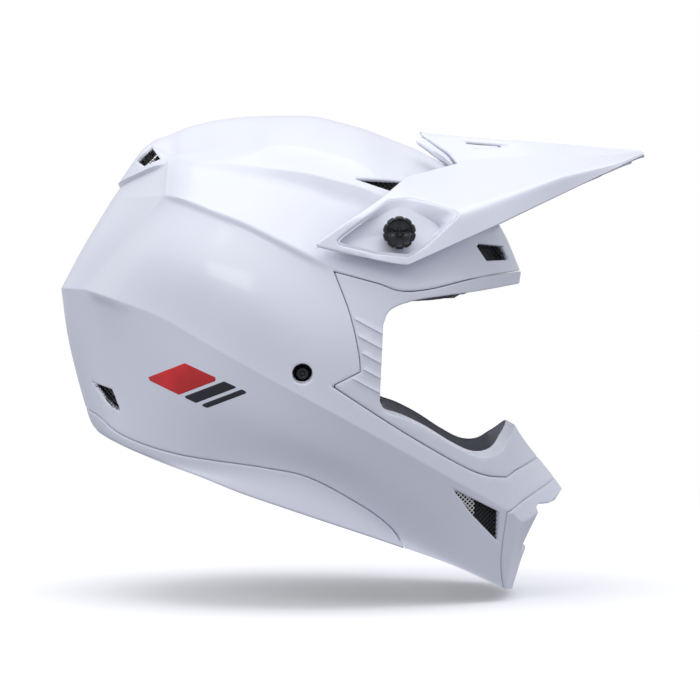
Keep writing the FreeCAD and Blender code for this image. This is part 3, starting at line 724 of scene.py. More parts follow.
def applied(made):
    """Turns a piece's modifiers into its mesh."""
    graph = bpy.context.evaluated_depsgraph_get()
    graph.update()
    mesh = bpy.data.meshes.new_from_object(made.evaluated_get(graph))
    made.modifiers.clear()
    old = made.data
    made.data = mesh
    bpy.data.meshes.remove(old)
    return made


def slanted_net(center, reach, pitch, place, keep):
    """Squares turned 45 degrees on a surface: place maps a flat point to the surface or None."""
    number = {}
    points = []
    count = int(reach / pitch) + 1
    for i in range(-count, count + 1):
        for j in range(-count, count + 1):
            flat = center + np.array([i + j, i - j]) * pitch * 0.7
            if not keep(flat):
                continue
            spot = place(flat)
            if spot is not None:
                number[i, j] = len(points)
                points.append(spot)
    squares = []
    for i, j in number:
        corners = [(i, j), (i + 1, j), (i + 1, j + 1), (i, j + 1)]
        if all(c in number for c in corners):
            squares.append([number[c] for c in corners])
    return np.array(points), squares


plain_half = form_surface()


def layer(inset):
    """Half of the plain form, moved in by inset."""
    made = plain_half.copy()
    made.points = scaled_in(made, inset)
    return made


MESH_INSET = 1.7     # inside the outer face
MESH_OVERLAP = 0.9   # how far a mesh runs on behind its vent's edge
CHIN_WIRE = 1.0
VENT_WIRE = 0.55
SILVER_TO = 104.5    # the chin mesh is silver behind this x, black ahead of it
layer_tree = bvh_of(layer(MESH_INSET))


def on_layer(flat):
    return cast_on(layer_tree, flat[0], flat[1])


for vent, outline in vent_lines.items():
    reach, pitch = (22, 2.1) if vent == "brow_vent" else (30, 1.9)

    def in_vent(flat, outline=outline):
        return inside_by(outline, flat[:1], flat[1:])[0] > -MESH_OVERLAP

    net = slanted_net(outline.mean(0), reach, pitch, on_layer, in_vent)
    for side, sign in (("left", 1), ("right", -1)):
        kept = f"{vent}_mesh_{side}"
        points = net[0] * [1, sign, 1]
        if vent == "chin_vent":
            behind = [q for q in net[1] if net[0][q, 0].mean() < SILVER_TO]
            ahead = [q for q in net[1] if net[0][q, 0].mean() >= SILVER_TO]
            wire_mesh(kept + "_silver", (points, behind), mesh_silver, CHIN_WIRE, kept)
            wire_mesh(kept + "_net", (points, ahead), mesh_black, VENT_WIRE, kept)
        else:
            wire_mesh(kept + "_net", (points, net[1]), mesh_black, VENT_WIRE, kept)


# ---------------------------------------------------------------- visor
VISOR_LINES = {
    "centre": [(10, 0, 100), (84, 0, 92.5), (97, 0, 84), (111, 0, 71.5), (124, 0, 80), (150, 0, 87),
               (208, 0, 89)],
    "base": [(10, 32, 98), (84, 32, 89), (97, 29, 80), (111, 27, 70), (124, 26, 79), (150, 24, 87),
             (208, 18, 89)],
    "crest": [(10, 44, 106), (75, 40, 101), (150, 32, 95), (208, 20, 90)],
    "middle": [(10, 96, 74), (50, 86, 74), (66, 77, 74), (97, 54, 82), (155, 46, 84), (208, 26, 89)],
    "crease": [(10, 120, 46), (50, 114, 46), (66, 111, 47), (97, 104, 50), (155, 80, 72),
               (192, 62, 81), (208, 40, 88)],
    "lower": [(10, 124, 30), (65, 119, 19.5), (119, 98, 44), (192, 63, 79), (208, 41, 86.4)],
}
VISOR_SIDE = [[(14, 30), (40, 24), (55, 20.5), (65, 19.5), (70, 19)], [(70, 19), (119, 42)],
              [(119, 42), (215, 86)], [(215, 86), (215, 96)], [(215, 96), (75, 108)],
              [(75, 108), (73, 101), (84, 92), (91, 87), (96, 81)], [(96, 81), (66, 72)],
              [(66, 72), (50, 58)], [(50, 58), (14, 32)], [(14, 32), (14, 30)]]
POCKET = np.array([(23, 32), (55, 57), (68, 58.5), (84, 54.5), (97, 50), (77, 31), (66, 24.5),
                   (48, 26)])
POCKET_FLOOR = np.array([(24, 33), (55, 51), (60, 53), (67, 52), (77, 47), (85, 42), (76.5, 32.5),
                         (67, 25.6), (62, 24.6), (48, 26.6)])
POCKET_MIDDLE = (60.0, 39.0)
FIN_SLOT = np.array([(101, 94), (127, 92), (108, 90)])
FIN_FROM = 12.0         # y; the slots in the fins are cut outside it
UNCUT = 9.0             # a depth that is clear of every cut
TOP_SLOT = (98.5, 8.5, 3.6)   # x of its middle, and half its length and width
VISOR_ROLL = 1.1
VISOR_WALL = 2.6
VISOR_CLEARANCE = 2.8
POCKET_WALL = 1.3
POCKET_DROP = ((0.0, 1.2), (0.02, 0.55), (0.07, 0.15), (0.25, 0), (0.5, 0), (0.75, 0), (0.92, 0))
BOSS_FACE = 111.6       # y
TIP = 208.0             # x
ROUNDED_OVER = {"centre": 3, "base": 3, "crest": 12, "middle": 9, "crease": 6, "lower": 4}
RING_POINTS = 216


def eased(line, x, reach):
    """(y, z) of a line of straight runs at x, averaged over reach so that its corners are rounded."""
    offsets = np.linspace(-reach, reach, 9)
    weights = 1 - np.abs(offsets) / (reach * 1.12)
    at = np.clip(x + offsets, line[0][0], line[-1][0])
    table = np.array(line, float)
    y = (np.interp(at, table[:, 0], table[:, 1]) * weights).sum() / weights.sum()
    z = (np.interp(at, table[:, 0], table[:, 2]) * weights).sum() / weights.sum()
    return np.array([y, z])


def visor_grid():
    """One half of the visor's outer face, columns along it by rows out from its middle."""
    stations = np.concatenate([np.arange(12, TIP - 4, 1.8), np.linspace(TIP - 4, TIP, 5)])
    parts = (("centre", "base", 14), ("base", "crest", 9), ("crest", "middle", 18),
             ("middle", "crease", 18), ("crease", "lower", 9))
    grid = []
    for x in stations:
        at = {name: eased(line, x, ROUNDED_OVER[name]) for name, line in VISOR_LINES.items()}
        row = []
        for low, high, count in parts:
            t = np.linspace(0, 1, count, endpoint=False)[:, None]
            row.append(at[low] * (1 - t) + at[high] * t)
        row.append(at["lower"][None])
        row = np.concatenate(row)
        for _ in range(4):
            ahead = np.concatenate([row[1:2] * [-1, 1], row[:-1]])
            behind = np.concatenate([row[1:], row[-1:]])
            row = np.concatenate([((row * 2 + ahead + behind) / 4)[:-1], row[-1:]])
        row[0, 0] = 0
        grid.append(np.column_stack([np.full(len(row), x), row]))
    return np.array(grid)


def ring_about(outline, passes):
    """An outline's points at even angles about the pocket's middle, with its corners eased."""
    closed = np.vstack([outline, outline[:1]]) - POCKET_MIDDLE
    ring = []
    for angle in np.linspace(0, 2 * math.pi, RING_POINTS, endpoint=False):
        way = np.array([math.cos(angle), math.sin(angle)])
        reach = 0.0
        for (ax, az), (bx, bz) in zip(closed, closed[1:]):
            turn = (bx - ax) * way[1] - (bz - az) * way[0]
            if abs(turn) > 1e-9:
                t = (ax * -way[1] + az * way[0]) / turn
                if -1e-9 <= t <= 1 + 1e-9:
                    reach = max(reach, float(np.dot((ax + (bx - ax) * t, az + (bz - az) * t), way)))
        ring.append(way * reach + POCKET_MIDDLE)
    ring = np.array(ring)
    for _ in range(passes):
        ring = (np.roll(ring, 1, 0) + ring * 2 + np.roll(ring, -1, 0)) / 4
    return ring


pocket_ring = ring_about(POCKET, 6)
visor_side = flat_outline(VISOR_SIDE, 6)
visor_half = grid_surface(visor_grid())
facing_out(visor_half, np.array([0, 0, 1.0]))


def visor_field(s):
    x, y, z = s.points.T
    depth = inside_by(visor_side, x, z)
    depth = np.minimum(depth, -inside_by(pocket_ring, x, z))
    depth = np.minimum(depth, np.where(y > FIN_FROM, -inside_by(FIN_SLOT, x, z), UNCUT))
    middle, half_length, half_width = TOP_SLOT
    slot_line = np.maximum(np.abs(y) - half_width, np.abs(x - middle) - half_length)
    return np.minimum(depth, slot_line)


visor_skin = trimmed(visor_half.copy(), visor_field, VISOR_ROLL)
inner_skin = visor_skin.points - visor_skin.normals() * VISOR_WALL
inner_skin[visor_skin.points[:, 1] < ON_MIDDLE, 1] = 0
visor_closed = both_halves(thick(visor_skin, inner_skin))
visor = mesh_object("visor_sheet", visor_closed, gloss_white, "visor", 35)
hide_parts("visor")

visor_tree = bvh_of(visor_half)
floor_tree = bvh_of(layer(-VISOR_CLEARANCE - VISOR_WALL))


def pocket_surface():
    """Walls from the visor's face down to a floor round the knob's boss."""
    high = np.array([cast_on(visor_tree, *p) for p in pocket_ring])
    low = np.array([cast_on(floor_tree, *p) for p in ring_about(POCKET_FLOOR, 3)])
    terms = np.column_stack([np.ones(len(low)), low[:, 0], low[:, 2], low[:, 0] ** 2])
    fit = np.linalg.lstsq(terms, low[:, 1], rcond=None)[0]
    low[:, 1] = terms @ fit
    center_y = float(fit @ (1, PIVOT[0], PIVOT[1], PIVOT[0] ** 2))
    rings = []
    for t, sink in POCKET_DROP:
        ring = high * (1 - t) + low * t
        ring[:, 1] -= sink
        rings.append(ring)
    center = np.array([PIVOT[0], min(center_y, BOSS_FACE - 1), PIVOT[1]])
    for t in (0.0, 0.04, 0.12, 0.25, 0.45, 0.65, 0.85, 1.0):
        rings.append(low * (1 - t) + center * t)
    grid = np.array(rings)
    grid = np.concatenate([grid, grid[:, :1]], 1)
    made = welded(grid_surface(grid.transpose(1, 0, 2)))
    return facing_out(made, np.array([0, 1.0, 0]))


pocket = pocket_surface()
pocket_back = pocket.points - pocket.normals() * POCKET_WALL
pocket_closed = thick(pocket, pocket_back, halved=False)
for side, sign in (("left", 1), ("right", -1)):
    shape = pocket_closed if sign > 0 else mirror_image(pocket_closed)
    made = mesh_object(f"visor_pocket_{side}", shape, gloss_white, "visor", 35)


# ---------------------------------------------------------------- turned and moulded hardware
def lathe(profile, steps, center, sign, height_at=None):
    """A closed turned surface about an axis along Y, from a profile of (radius, height)."""
    angles = np.linspace(0, 2 * math.pi, steps, endpoint=False)
    grid = []
    for angle in np.append(angles, angles[0]):
        column = []
        for radius, height in profile:
            r, h = (radius, height) if height_at is None else height_at(radius, height, angle)
            column.append((center[0] + r * math.cos(angle), sign * (center[1] + h),
                           center[2] + r * math.sin(angle)))
        grid.append(column)
    made = grid_surface(np.array(grid))
    return facing_out(made, made.points - np.array([center[0], sign * center[1], center[2]]))


KNOB_TOP = 7.3
KNOB_LOBES = 10
LOBE_DEPTH = 0.7
KNOB_HUB = 1.5       # radius of the hub on the knob's face
KNOB_FACE = 7.2      # and of the face
FACETS = 4
FACET_RISE = 1.3
RIVET_FOOT = 113.6   # y


def knob_shape(radius, height, angle):
    """Finger scallops round the rim, and triangular facets standing on the face."""
    out = radius
    if radius > KNOB_FACE:
        dip = max(0.0, math.cos(KNOB_LOBES * angle)) ** 3
        out = radius - LOBE_DEPTH * dip * min(1.0, (radius - KNOB_FACE) / 1.6)
    rise = height
    if height > 5.0 and KNOB_HUB < radius < KNOB_FACE:
        part_turn = (angle * FACETS / (2 * math.pi)) % 1.0
        ridge = 1 - abs(2 * part_turn - 1)
        spread = (radius - KNOB_HUB) / (KNOB_FACE - KNOB_HUB)
        facet = min(1.0, max(0.0, ridge - 0.28 * (1 - spread)) * 1.8)
        rise = min(height + FACET_RISE * facet * (1 - spread * 0.3), KNOB_TOP)
    return out, rise


KNOB_PROFILE = [(0.0, 5.4), (0.9, 5.4), (1.2, 6.3), (1.5, 6.5), (1.9, 6.2), (2.6, 6.0), (3.6, 5.9),
                (4.6, 5.9), (5.6, 6.0), (6.4, 6.1), (6.9, 6.2), (7.15, 6.6), (7.4, 7.0), (7.9, 7.25),
                (8.5, 7.1), (9.0, 6.7), (9.35, 6.1), (9.5, 5.2), (9.5, 3.4), (9.5, 1.6), (9.3, 0.7),
                (8.9, 0.35), (8.0, 0.3), (3.0, 0.3), (3.0, 0.0), (3.0, -23.4), (2.6, -24.0),
                (0.0, -24.0)]
BOSS_PROFILE = [(0.0, -0.1), (7.0, -0.1), (7.7, -0.35), (8.0, -1.0), (8.2, -3.0), (8.6, -6.0),
                (6.0, -7.0), (0.0, -7.0)]
RIVET_PROFILE = [(0.0, 6.5), (1.1, 6.5), (1.3, 7.0), (1.6, 7.6), (2.4, 7.95), (3.3, 7.8), (4.0, 7.3),
                 (4.4, 6.6), (4.4, 6.0), (4.0, 5.7), (2.5, 5.6), (2.5, 0.4), (4.4, 0.2), (4.2, 0.0),
                 (0.0, 0.0)]
for side, sign in (("left", 1), ("right", -1)):
    pivot = (PIVOT[0], BOSS_FACE, PIVOT[1])
    knob = mesh_object(f"knob_{side}", lathe(KNOB_PROFILE, 120, pivot, sign, knob_shape), knob_black,
                       f"visor_screw_{side}", 28)
    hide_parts(f"visor_screw_{side}")
    boss = mesh_object(f"visor_boss_{side}", lathe(BOSS_PROFILE, 64, pivot, sign), gloss_white,
                       "visor", 35)
    rivet_at = (STRAP_HOLE[0], RIVET_FOOT, STRAP_HOLE[1])
    rivet = mesh_object(f"rivet_{side}", lathe(RIVET_PROFILE, 48, rivet_at, sign), rivet_black,
                        "helmet", 35)
    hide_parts(f"strap_rivet_{side}")


# ---------------------------------------------------------------- top screw
TOP_ANGLE = math.radians(45.5)
TOP_RADIUS = 53.0
top_axis = np.array([math.cos(TOP_ANGLE), 0, math.sin(TOP_ANGLE)])
top_point = np.array([PIVOT[0], 0, PIVOT[1]]) + top_axis * TOP_RADIUS
TOP_GAP = 1.3   # between the visor and the head
top_base = VISOR_CLEARANCE + VISOR_WALL + TOP_GAP
TOP_PROFILE = [(0.0, 1.0), (1.6, 1.0), (1.75, 1.4), (1.9, 2.1), (2.6, 2.45), (3.8, 2.45), (4.7, 2.1),
               (5.4, 1.5), (5.8, 0.8), (6.0, 0.3), (5.8, 0.0), (3.0, 0.0), (2.6, -0.5), (2.6, -19.0),
               (2.2, -20.0), (0.0, -20.0)]


def turned_about_top(profile):
    """A closed turned surface about the top screw's axis."""
    side = np.array([0, 1.0, 0])
    up = np.cross(top_axis, side)
    grid = []
    for angle in np.linspace(0, 2 * math.pi, 49):
        way = side * math.cos(angle) + up * math.sin(angle)
        grid.append([top_point + top_axis * (top_base + h) + way * r for r, h in profile])
    made = grid_surface(np.array(grid))
    return facing_out(made, made.points - top_point - top_axis * top_base)


top_screw = mesh_object("top_screw", turned_about_top(TOP_PROFILE), knob_black, "helmet", 30)
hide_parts("visor_top_screw")

# ---------------------------------------------------------------- mouth grille
GRILLE_INSET = 5.5
GRILLE_WIRE = 0.8
grille_tree = bvh_of(both_halves(layer(GRILLE_INSET)))


def on_grille(flat):
    """The grille's point at (y, z), met from the front."""
    hit = grille_tree.ray_cast(Vector((BEYOND, flat[0], flat[1])), Vector((-1, 0, 0)))
    return None if hit[0] is None else np.array(hit[0])


def in_grille(flat):
    return abs(flat[0]) < WINDOW_HALF_WIDTH + 2 and WINDOW_LOW - 2 < flat[1] < WINDOW_HIGH + 2


grille_middle = np.array([0, (WINDOW_LOW + WINDOW_HIGH) / 2])
grille_net = slanted_net(grille_middle, 56, 2.4, on_grille, in_grille)
wire_mesh("mouth_grille_net", grille_net, mesh_black, GRILLE_WIRE, "mouth_grille")

# ---------------------------------------------------------------- chin strap and its rings
STRAP_X = 6.0
STRAP_WIDTH = 22.0
STRAP_THICKNESS = 2.2
STRAP_LOW = -118.0
RING_Y = -22.0
RING_WIRE = 1.7
RING_RADIUS = 13.7
RING_TILT = 8.0
BAR_RISE = 1.8
LOOP_GAP = 0.25          # between the ring's bar and the strap's loop
LOOP_THICKNESS = 1.8
STITCH_LENGTH = 2.2
STITCH_RADIUS = 0.28
STITCH_Z = STRAP_LOW - 3.05
TUBE_SIDES = 14
STRAP_PATH = [(117.5, -30), (117.5, -40), (117.5, -50), (115, -58), (97.5, -82), (80, -106),
              (72, -113), (62, STRAP_LOW)]
RIBBON_SECTION = [(-0.5, 0.0), (-0.492, 0.34), (-0.47, 0.5), (-0.43, 0.5), (-0.41, 0.42), (-0.2, 0.42),
                  (0.0, 0.42), (0.2, 0.42), (0.41, 0.42), (0.43, 0.5), (0.47, 0.5), (0.492, 0.34),
                  (0.5, 0.0), (0.492, -0.34), (0.47, -0.5), (0.43, -0.5), (0.41, -0.42), (0.2, -0.42),
                  (0.0, -0.42), (-0.2, -0.42), (-0.41, -0.42), (-0.43, -0.5), (-0.47, -0.5),
                  (-0.492, -0.34)]


def ribbon(path, width, thickness, closed=False):
    """Webbing along (y, z) points, with thicker woven edges; its ends are closed."""
    path = np.array(path, float)
    if closed:
        ahead = np.roll(path, -1, 0) - np.roll(path, 1, 0)
    else:
        ahead = np.gradient(path, axis=0)
    ahead /= np.linalg.norm(ahead, axis=1, keepdims=True)
    grid = []
    for (y, z), (ty, tz) in zip(path, ahead):
        grid.append([(STRAP_X + a * width, y - tz * b * thickness, z + ty * b * thickness)
                     for a, b in RIBBON_SECTION + RIBBON_SECTION[:1]])
    grid = np.array(grid)
    if closed:
        grid = np.concatenate([grid, grid[:1]])
    else:
        ends = [np.tile(grid[k].mean(0), (1, grid.shape[1], 1)) for k in (0, -1)]
        grid = np.concatenate([ends[0], grid, ends[1]])
    made = grid_surface(grid)
    return facing_out(made, made.points - np.repeat(grid.mean(1), grid.shape[1], 0))


def smooth_path(points):
    points = np.array(points, float)
    params = np.linspace(0, len(points) - 1, (len(points) - 1) * 8 + 1)
    return through(points, params, 2 * points[0] - points[1], 2 * points[-1] - points[-2])


def merged(*surfaces):
    """One surface that holds several."""
    points, faces, count = [], [], 0
    for s in surfaces:
        points.append(s.points)
        faces.append(s.faces + count)
        count += len(s.points)
    return Surface(np.vstack(points), np.vstack(faces))


def stitches(spots, along):
    """Short threads at spots under the strap, a little arched."""
    up = np.array([0, 0, 1.0])
    cross = np.cross(along, up)
    found = []
    for spot in spots:
        t = np.linspace(-1, 1, 7)
        center = np.array(spot)[None] + np.outer(t * STITCH_LENGTH / 2, along)
        center[:, 2] += 0.25 * (1 - t * t)
        ring = np.linspace(0, 2 * math.pi, 7)
        grid = np.array([[c + (cross * math.cos(a) + up * math.sin(a)) * STITCH_RADIUS for a in ring]
                         for c in center])
        found.append(facing_out(grid_surface(grid), grid.reshape(-1, 3) - np.repeat(center, 7, 0)))
    return merged(*found)


right_path = [(-y, z) for y, z in STRAP_PATH] + [(y, STRAP_LOW) for y in (-45, -35, -25.2)]
left_path = STRAP_PATH + [(y, STRAP_LOW) for y in (45, 25, 5, -15.8)]
loop_middle = RING_WIRE + LOOP_GAP + LOOP_THICKNESS / 2
loop_path = [(RING_Y + loop_middle * math.cos(a),
              STRAP_LOW + loop_middle * math.sin(a) + math.copysign(BAR_RISE, math.sin(a)))
             for a in np.linspace(0, 2 * math.pi, 49)[:-1]]
tail_path = [(RING_Y - 2.2, STRAP_LOW - 3.9), (-29, STRAP_LOW - 2.8), (-36, STRAP_LOW - 2.2),
             (-48, STRAP_LOW - 2.1)]
thread_rows = [(STRAP_X + a, -y, STITCH_Z) for a in (-8, 8) for y in np.arange(31, 48, 3.0)]
cross_rows = [(STRAP_X + a, -y, STITCH_Z) for y in (30.0, 47.0) for a in np.arange(-6, 7, 3.0)]
strap_right = mesh_object("webbing_right", merged(
    ribbon(smooth_path(right_path), STRAP_WIDTH, STRAP_THICKNESS),
    ribbon(loop_path, STRAP_WIDTH, LOOP_THICKNESS, True),
    ribbon(smooth_path(tail_path), STRAP_WIDTH, LOOP_THICKNESS)), strap_cloth, "helmet", 50)
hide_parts("strap_right")
strap_left = mesh_object("webbing_left", ribbon(smooth_path(left_path), STRAP_WIDTH, STRAP_THICKNESS),
                         strap_cloth, "helmet", 50)
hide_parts("strap_left")
threads = mesh_object("strap_stitching", merged(stitches(thread_rows, np.array([0, 1.0, 0])),
                                                stitches(cross_rows, np.array([1.0, 0, 0]))),
                      thread_grey, "helmet", 60)


def tube(path, radius):
    """A closed ring of wire along a closed flat path in its own x, y plane."""
    path = np.array(path, float)
    ahead = np.roll(path, -1, 0) - np.roll(path, 1, 0)
    ahead /= np.linalg.norm(ahead, axis=1, keepdims=True)
    grid = []
    for (x, y), (tx, ty) in zip(path, ahead):
        grid.append([(x + ty * math.cos(a) * radius, y - tx * math.cos(a) * radius,
                      math.sin(a) * radius) for a in np.linspace(0, 2 * math.pi, TUBE_SIDES + 1)])
    grid = np.array(grid)
    grid = np.concatenate([grid, grid[:1]])
    made = grid_surface(grid)
    return facing_out(made, made.points - np.repeat(grid.mean(1), TUBE_SIDES + 1, 0))


def ring_path():
    """A D: a straight bar along x and a bow of the ring's radius, with eased corners."""
    corner = 2.6
    path = [(x, 0) for x in np.linspace(-RING_RADIUS + corner, RING_RADIUS - corner, 16)]
    for sign in (1, -1):
        start = len(path)
        for a in np.linspace(-math.pi / 2, 0.12, 7):
            path.append((sign * (RING_RADIUS - corner + corner * math.cos(a)),
                         corner + corner * math.sin(a)))
        if sign < 0:
            path[start:] = path[start:][::-1]
        if sign > 0:
            low = math.asin(corner / RING_RADIUS) + 0.1
            path += [(RING_RADIUS * math.cos(a), RING_RADIUS * math.sin(a))
                     for a in np.linspace(low, math.pi - low, 34)]
    return path


for name, sign in (("upper", 1), ("lower", -1)):
    wire = tube(ring_path(), RING_WIRE)
    tilt = math.radians(RING_TILT) * sign
    x, y, z = wire.points.T
    turned_y = y * math.cos(tilt) - z * math.sin(tilt)
    turned_z = y * math.sin(tilt) + z * math.cos(tilt)
    wire.points = np.column_stack([x + STRAP_X, turned_y + RING_Y,
                                   turned_z + STRAP_LOW + sign * BAR_RISE])
    made = mesh_object(f"ring_{name}", wire, ring_steel, f"d_ring_{name}", 50)
    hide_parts(f"d_ring_{name}")

# ---------------------------------------------------------------- generic side graphic
DECAL_CENTER = (-55.0, -49.0)
DECAL_TILT = math.radians(-24)
DECAL_REACH = 45.0
BAR_HALF_HEIGHT = 9.0
BAR_SLANT = 9.0
FILM_FACE = 0.12       # above the shell
FILM_THICKNESS = 0.1
FILM_ROLL = 0.08


def bar_outline(start, end):
    """A slanted bar in the graphic's own plane, turned onto the helmet's side."""
    corners = [(start - BAR_SLANT, -BAR_HALF_HEIGHT), (end - BAR_SLANT, -BAR_HALF_HEIGHT),
               (end + BAR_SLANT, BAR_HALF_HEIGHT), (start + BAR_SLANT, BAR_HALF_HEIGHT)]
    c, s = math.cos(DECAL_TILT), math.sin(DECAL_TILT)
    return np.array([(DECAL_CENTER[0] + x * c - y * s, DECAL_CENTER[1] + x * s + y * c)
                     for x, y in corners])


for name, start, end, ink in (("long", -20, 2, decal_red), ("middle", 5, 13, decal_ink),
                              ("short", 16, 20, decal_ink)):
    def in_bar(s, outline=bar_outline(start, end)):
        return inside_by(outline, s.points[:, 0], s.points[:, 2])

    strip = form_half.copy()
    from_center = np.hypot(strip.points[:, 0] - DECAL_CENTER[0], strip.points[:, 2] - DECAL_CENTER[1])
    strip = trimmed(strip.keep(from_center < DECAL_REACH), in_bar, FILM_ROLL)
    strip.points += strip.normals() * FILM_FACE
    film = thick(strip, strip.points - strip.normals() * FILM_THICKNESS, halved=False)
    pair = merged(film, mirror_image(film))
    made = mesh_object(f"side_graphic_{name}", pair, ink, "helmet", 40)

# ---------------------------------------------------------------- pads
PAD_PRESSURE = 4.0
PAD_SHRINK = 0.0012      # metres, before the cloth swells
PAD_SWELL_MOST = 0.003
CLOTH_FRAMES = 20


def vertex_values(mesh, attribute):
    """The places or normals of a mesh's vertices, one row each."""
    found = np.empty(len(mesh.vertices) * 3)
    mesh.vertices.foreach_get(attribute, found)
    return found.reshape(-1, 3)


def move_vertices(mesh, points):
    mesh.vertices.foreach_set("co", points.ravel())
    mesh.update()


def settled(made, voxel):
    """Remeshes a pad, blows it up as sewn cloth over soft foam, and holds back its movement."""
    scene = bpy.context.scene
    remesh = made.modifiers.new("remesh", "REMESH")
    remesh.mode = "VOXEL"
    remesh.voxel_size = voxel
    applied(made)
    start = vertex_values(made.data, "co") - vertex_values(made.data, "normal") * PAD_SHRINK
    move_vertices(made.data, start)
    cloth = made.modifiers.new("cloth", "CLOTH")
    cloth.settings.quality = 4
    cloth.settings.use_pressure = True
    cloth.settings.uniform_pressure_force = PAD_PRESSURE
    cloth.settings.effector_weights.gravity = 0
    cloth.collision_settings.use_collision = False
    for frame_number in range(1, CLOTH_FRAMES + 1):
        scene.frame_set(frame_number)
    graph = bpy.context.evaluated_depsgraph_get()
    moved = vertex_values(made.evaluated_get(graph).data, "co") - start
    length = np.linalg.norm(moved, axis=1, keepdims=True)
    final = start + moved * np.minimum(1, PAD_SWELL_MOST / np.maximum(length, 1e-9))
    made.modifiers.clear()
    scene.frame_set(1)
    move_vertices(made.data, final)
    smooth = made.modifiers.new("smooth", "SMOOTH")
    smooth.factor = 0.5
    smooth.iterations = 2
    divide = made.modifiers.new("divide", "SUBSURF")
    divide.levels = 1
    divide.render_levels = 1
    return applied(made)


def groove(made, distance, depth, width):
    """Presses a sewn channel into a pad where distance(points), in mm, is near 0."""
    points = vertex_values(made.data, "co")
    press = depth * MM * np.exp(-(distance(points / MM) / width) ** 2)
    move_vertices(made.data, points - vertex_values(made.data, "normal") * press[:, None])


def crossing(axis, *places):
    """Distance to the nearest of some planes across an axis."""
    return lambda p: np.min([np.abs(p[:, axis] - at) for at in places], axis=0)


def round_groove(p):
    """A ring on the crown, seen from above."""
    return np.abs(np.hypot((p[:, 0] + 4) / 1.35, p[:, 1]) - 30)


def slanted_groove(p):
    """Two channels that slope down to the front of a cheek pad."""
    return np.min([np.abs((p[:, 0] - 20) * 0.5 + p[:, 2] + at) for at in (82.0, 106.0)], axis=0)


# Each pad's voxel size, its cloth and its channels: where, how deep and how wide.
PADS = {
    "crown_pad": (0.005, liner_fabric, [(round_groove, 2.0, 2.6), (crossing(1, 0), 1.2, 2.4)]),
    "brow_pad": (0.005, liner_fabric, [(crossing(1, -40, 0, 40), 1.8, 2.6)]),
    "rear_pad": (0.005, liner_fabric, [(crossing(1, -32, 32), 1.8, 2.8), (crossing(2, -18), 1.5, 2.8)]),
    "cheek_pad_right": (0.005, cheek_fabric, [(slanted_groove, 2.0, 2.8)]),
    "cheek_pad_left": (0.005, cheek_fabric, [(slanted_groove, 2.0, 2.8)]),
    "chin_liner": (0.0045, cheek_fabric, [(crossing(1, -24, 24), 1.4, 2.4)]),
    "neck_roll": (0.005, cheek_fabric, [(crossing(1, -45, 0, 45), 1.8, 2.8)]),
}
for node_name, (voxel, cloth_look, channels) in PADS.items():
    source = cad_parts[node_name]
    pad = placed(node_name + "_cushion", source.data.copy())
    if node_name == "brow_pad":   # its lower edge follows the port
        for vertex in pad.data.vertices:
            lowest = 0.17 * (vertex.co.x - 0.066) - 0.005
            vertex.co.z = max(vertex.co.z, lowest)
    if node_name == "chin_liner":   # its top stays under the chin bar's edge
        for vertex in pad.data.vertices:
            vertex.co.z -= 0.006 * min(1.0, max(0.0, (vertex.co.z + 0.115) / 0.02))
            vertex.co.x -= 0.008 * min(1.0, max(0.0, (vertex.co.z + 0.125) / 0.03))
    settled(pad, voxel)
    for distance, depth, width in channels:
        groove(pad, distance, depth, width)
    finish_piece(pad, cloth_look, "helmet", 0)
    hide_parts(node_name)

# ---------------------------------------------------------------- foam liner and the nodes that stay
LINER_SCALE = 0.982   # clear of the shell's inner face
liner_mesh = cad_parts["impact_liner"].data.copy()
for vertex in liner_mesh.vertices:
    vertex.co *= LINER_SCALE
liner = placed("foam_liner", liner_mesh)
finish_piece(liner, foam, "helmet", 35)
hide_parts("impact_liner")
for node_name in ("visor_nut_right", "visor_nut_left", "visor_top_nut"):
    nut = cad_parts[node_name]
    nut.data.materials.clear()
    nut.data.materials.append(nut_metal)


# ---------------------------------------------------------------- floor, light and camera
FLOOR_LEVEL = -0.178
FLOOR_SIDE = 6.0      # half of it
FLOOR_FADE = 0.9      # radius at which the floor has faded out
FLOOR_GLOW = 0.22
CAMERA_PLACE = (0.0329, -1.7, -0.00305)
CAMERA_LENS = 143.3
CAMERA_SHIFT = -0.0643
floor_mesh = bpy.data.meshes.new("floor")
floor_corners = [(x * FLOOR_SIDE, y * FLOOR_SIDE, FLOOR_LEVEL)
                 for x, y in ((-1, -1), (1, -1), (1, 1), (-1, 1))]
floor_mesh.from_pydata(floor_corners, [], [(0, 1, 2, 3)])
floor = placed("floor", floor_mesh)
floor_white, floor_shader = principled("floor_white", (0.88, 0.88, 0.89), 0.8)
reach_of_floor = node_of(floor_white, "ShaderNodeTexGradient", gradient_type="SPHERICAL")
floor_scale = node_of(floor_white, "ShaderNodeMapping")
floor_scale.inputs["Scale"].default_value = (1 / FLOOR_FADE, 1 / FLOOR_FADE, 0)
joined(floor_white, place_of(floor_white), floor_scale.inputs["Vector"])
joined(floor_white, floor_scale.outputs["Vector"], reach_of_floor.inputs["Vector"])
underside = node_of(floor_white, "ShaderNodeNewGeometry")
shown = node_of(floor_white, "ShaderNodeMath", operation="SUBTRACT", use_clamp=True)
joined(floor_white, ramp_of(floor_white, reach_of_floor.outputs["Fac"],
                            [(0.02, (0, 0, 0)), (0.5, (1, 1, 1))]), shown.inputs[0])
joined(floor_white, underside.outputs["Backfacing"], shown.inputs[1])
joined(floor_white, shown.outputs[0], floor_shader.inputs["Alpha"])
floor_shader.inputs["Emission Color"].default_value = (1, 1, 1, 1)
floor_shader.inputs["Emission Strength"].default_value = FLOOR_GLOW
floor_mesh.materials.append(floor_white)
floor.visible_diffuse = False
floor.visible_glossy = False

bpy.context.scene.view_settings.view_transform = "Standard"
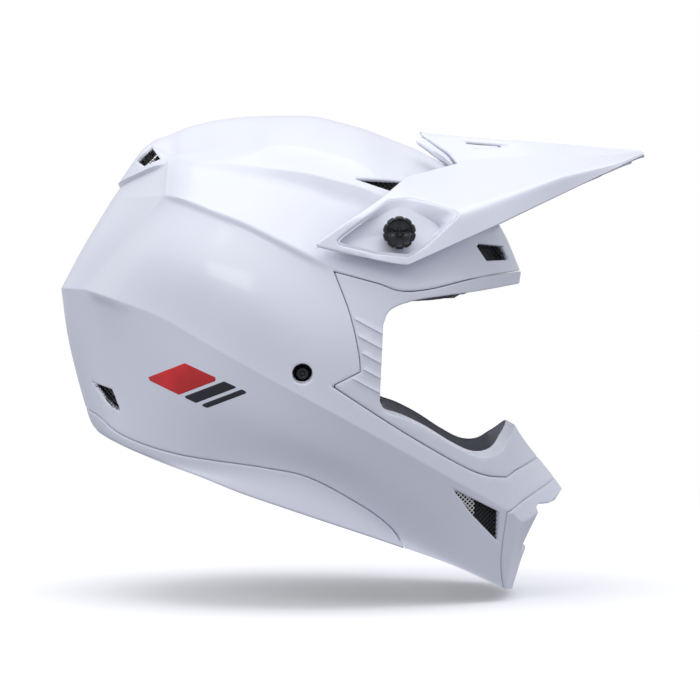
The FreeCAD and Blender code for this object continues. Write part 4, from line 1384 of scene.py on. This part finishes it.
# The world lights the helmet from above more than from below, and looks white to the camera.
world = bpy.data.worlds.new("studio")
bpy.context.scene.world = world
world.use_nodes = True
tree = world.node_tree
background = tree.nodes["Background"]
way = tree.nodes.new("ShaderNodeTexCoord")
parts = tree.nodes.new("ShaderNodeSeparateXYZ")
rise = tree.nodes.new("ShaderNodeMapRange")
rise.inputs["From Min"].default_value = -1.0
rise.inputs["From Max"].default_value = 1.0
shade = tree.nodes.new("ShaderNodeValToRGB")
shade.color_ramp.elements[0].color = (0.15, 0.155, 0.19, 1)
shade.color_ramp.elements[1].color = (0.95, 0.96, 1.0, 1)
level = shade.color_ramp.elements.new(0.5)
level.color = (0.58, 0.60, 0.68, 1)
seen = tree.nodes.new("ShaderNodeLightPath")
pick = tree.nodes.new("ShaderNodeMix")
pick.data_type = "RGBA"
lit_color, seen_color, picked_color = pick.inputs[6], pick.inputs[7], pick.outputs[2]
seen_color.default_value = (1, 1, 1, 1)
for out, into in ((way.outputs["Generated"], parts.inputs["Vector"]),
                  (parts.outputs["Z"], rise.inputs["Value"]),
                  (rise.outputs["Result"], shade.inputs["Fac"]),
                  (shade.outputs["Color"], lit_color),
                  (seen.outputs["Is Camera Ray"], pick.inputs["Factor"]),
                  (picked_color, background.inputs["Color"])):
    tree.links.new(out, into)


def soft_light(name, place, size_x, size_y, watts):
    """An area light that faces the helmet's middle."""
    light = bpy.data.lights.new(name, "AREA")
    light.shape = "RECTANGLE"
    light.size = size_x
    light.size_y = size_y
    light.energy = watts
    made = placed(name, light)
    made.location = place
    made.rotation_euler = (-Vector(place)).to_track_quat("-Z", "Y").to_euler()


soft_light("top_light", (0.0, -0.25, 1.5), 1.5, 1.2, 9)
soft_light("side_light", (-0.8, -1.4, 1.1), 0.7, 0.5, 3)

camera_data = bpy.data.cameras.new("camera")
camera_data.sensor_width = 36
camera_data.lens = CAMERA_LENS
camera_data.shift_y = CAMERA_SHIFT
camera = placed("camera", camera_data)
camera.location = CAMERA_PLACE
camera.rotation_euler = (math.radians(90), 0, 0)
bpy.context.scene.camera = camera
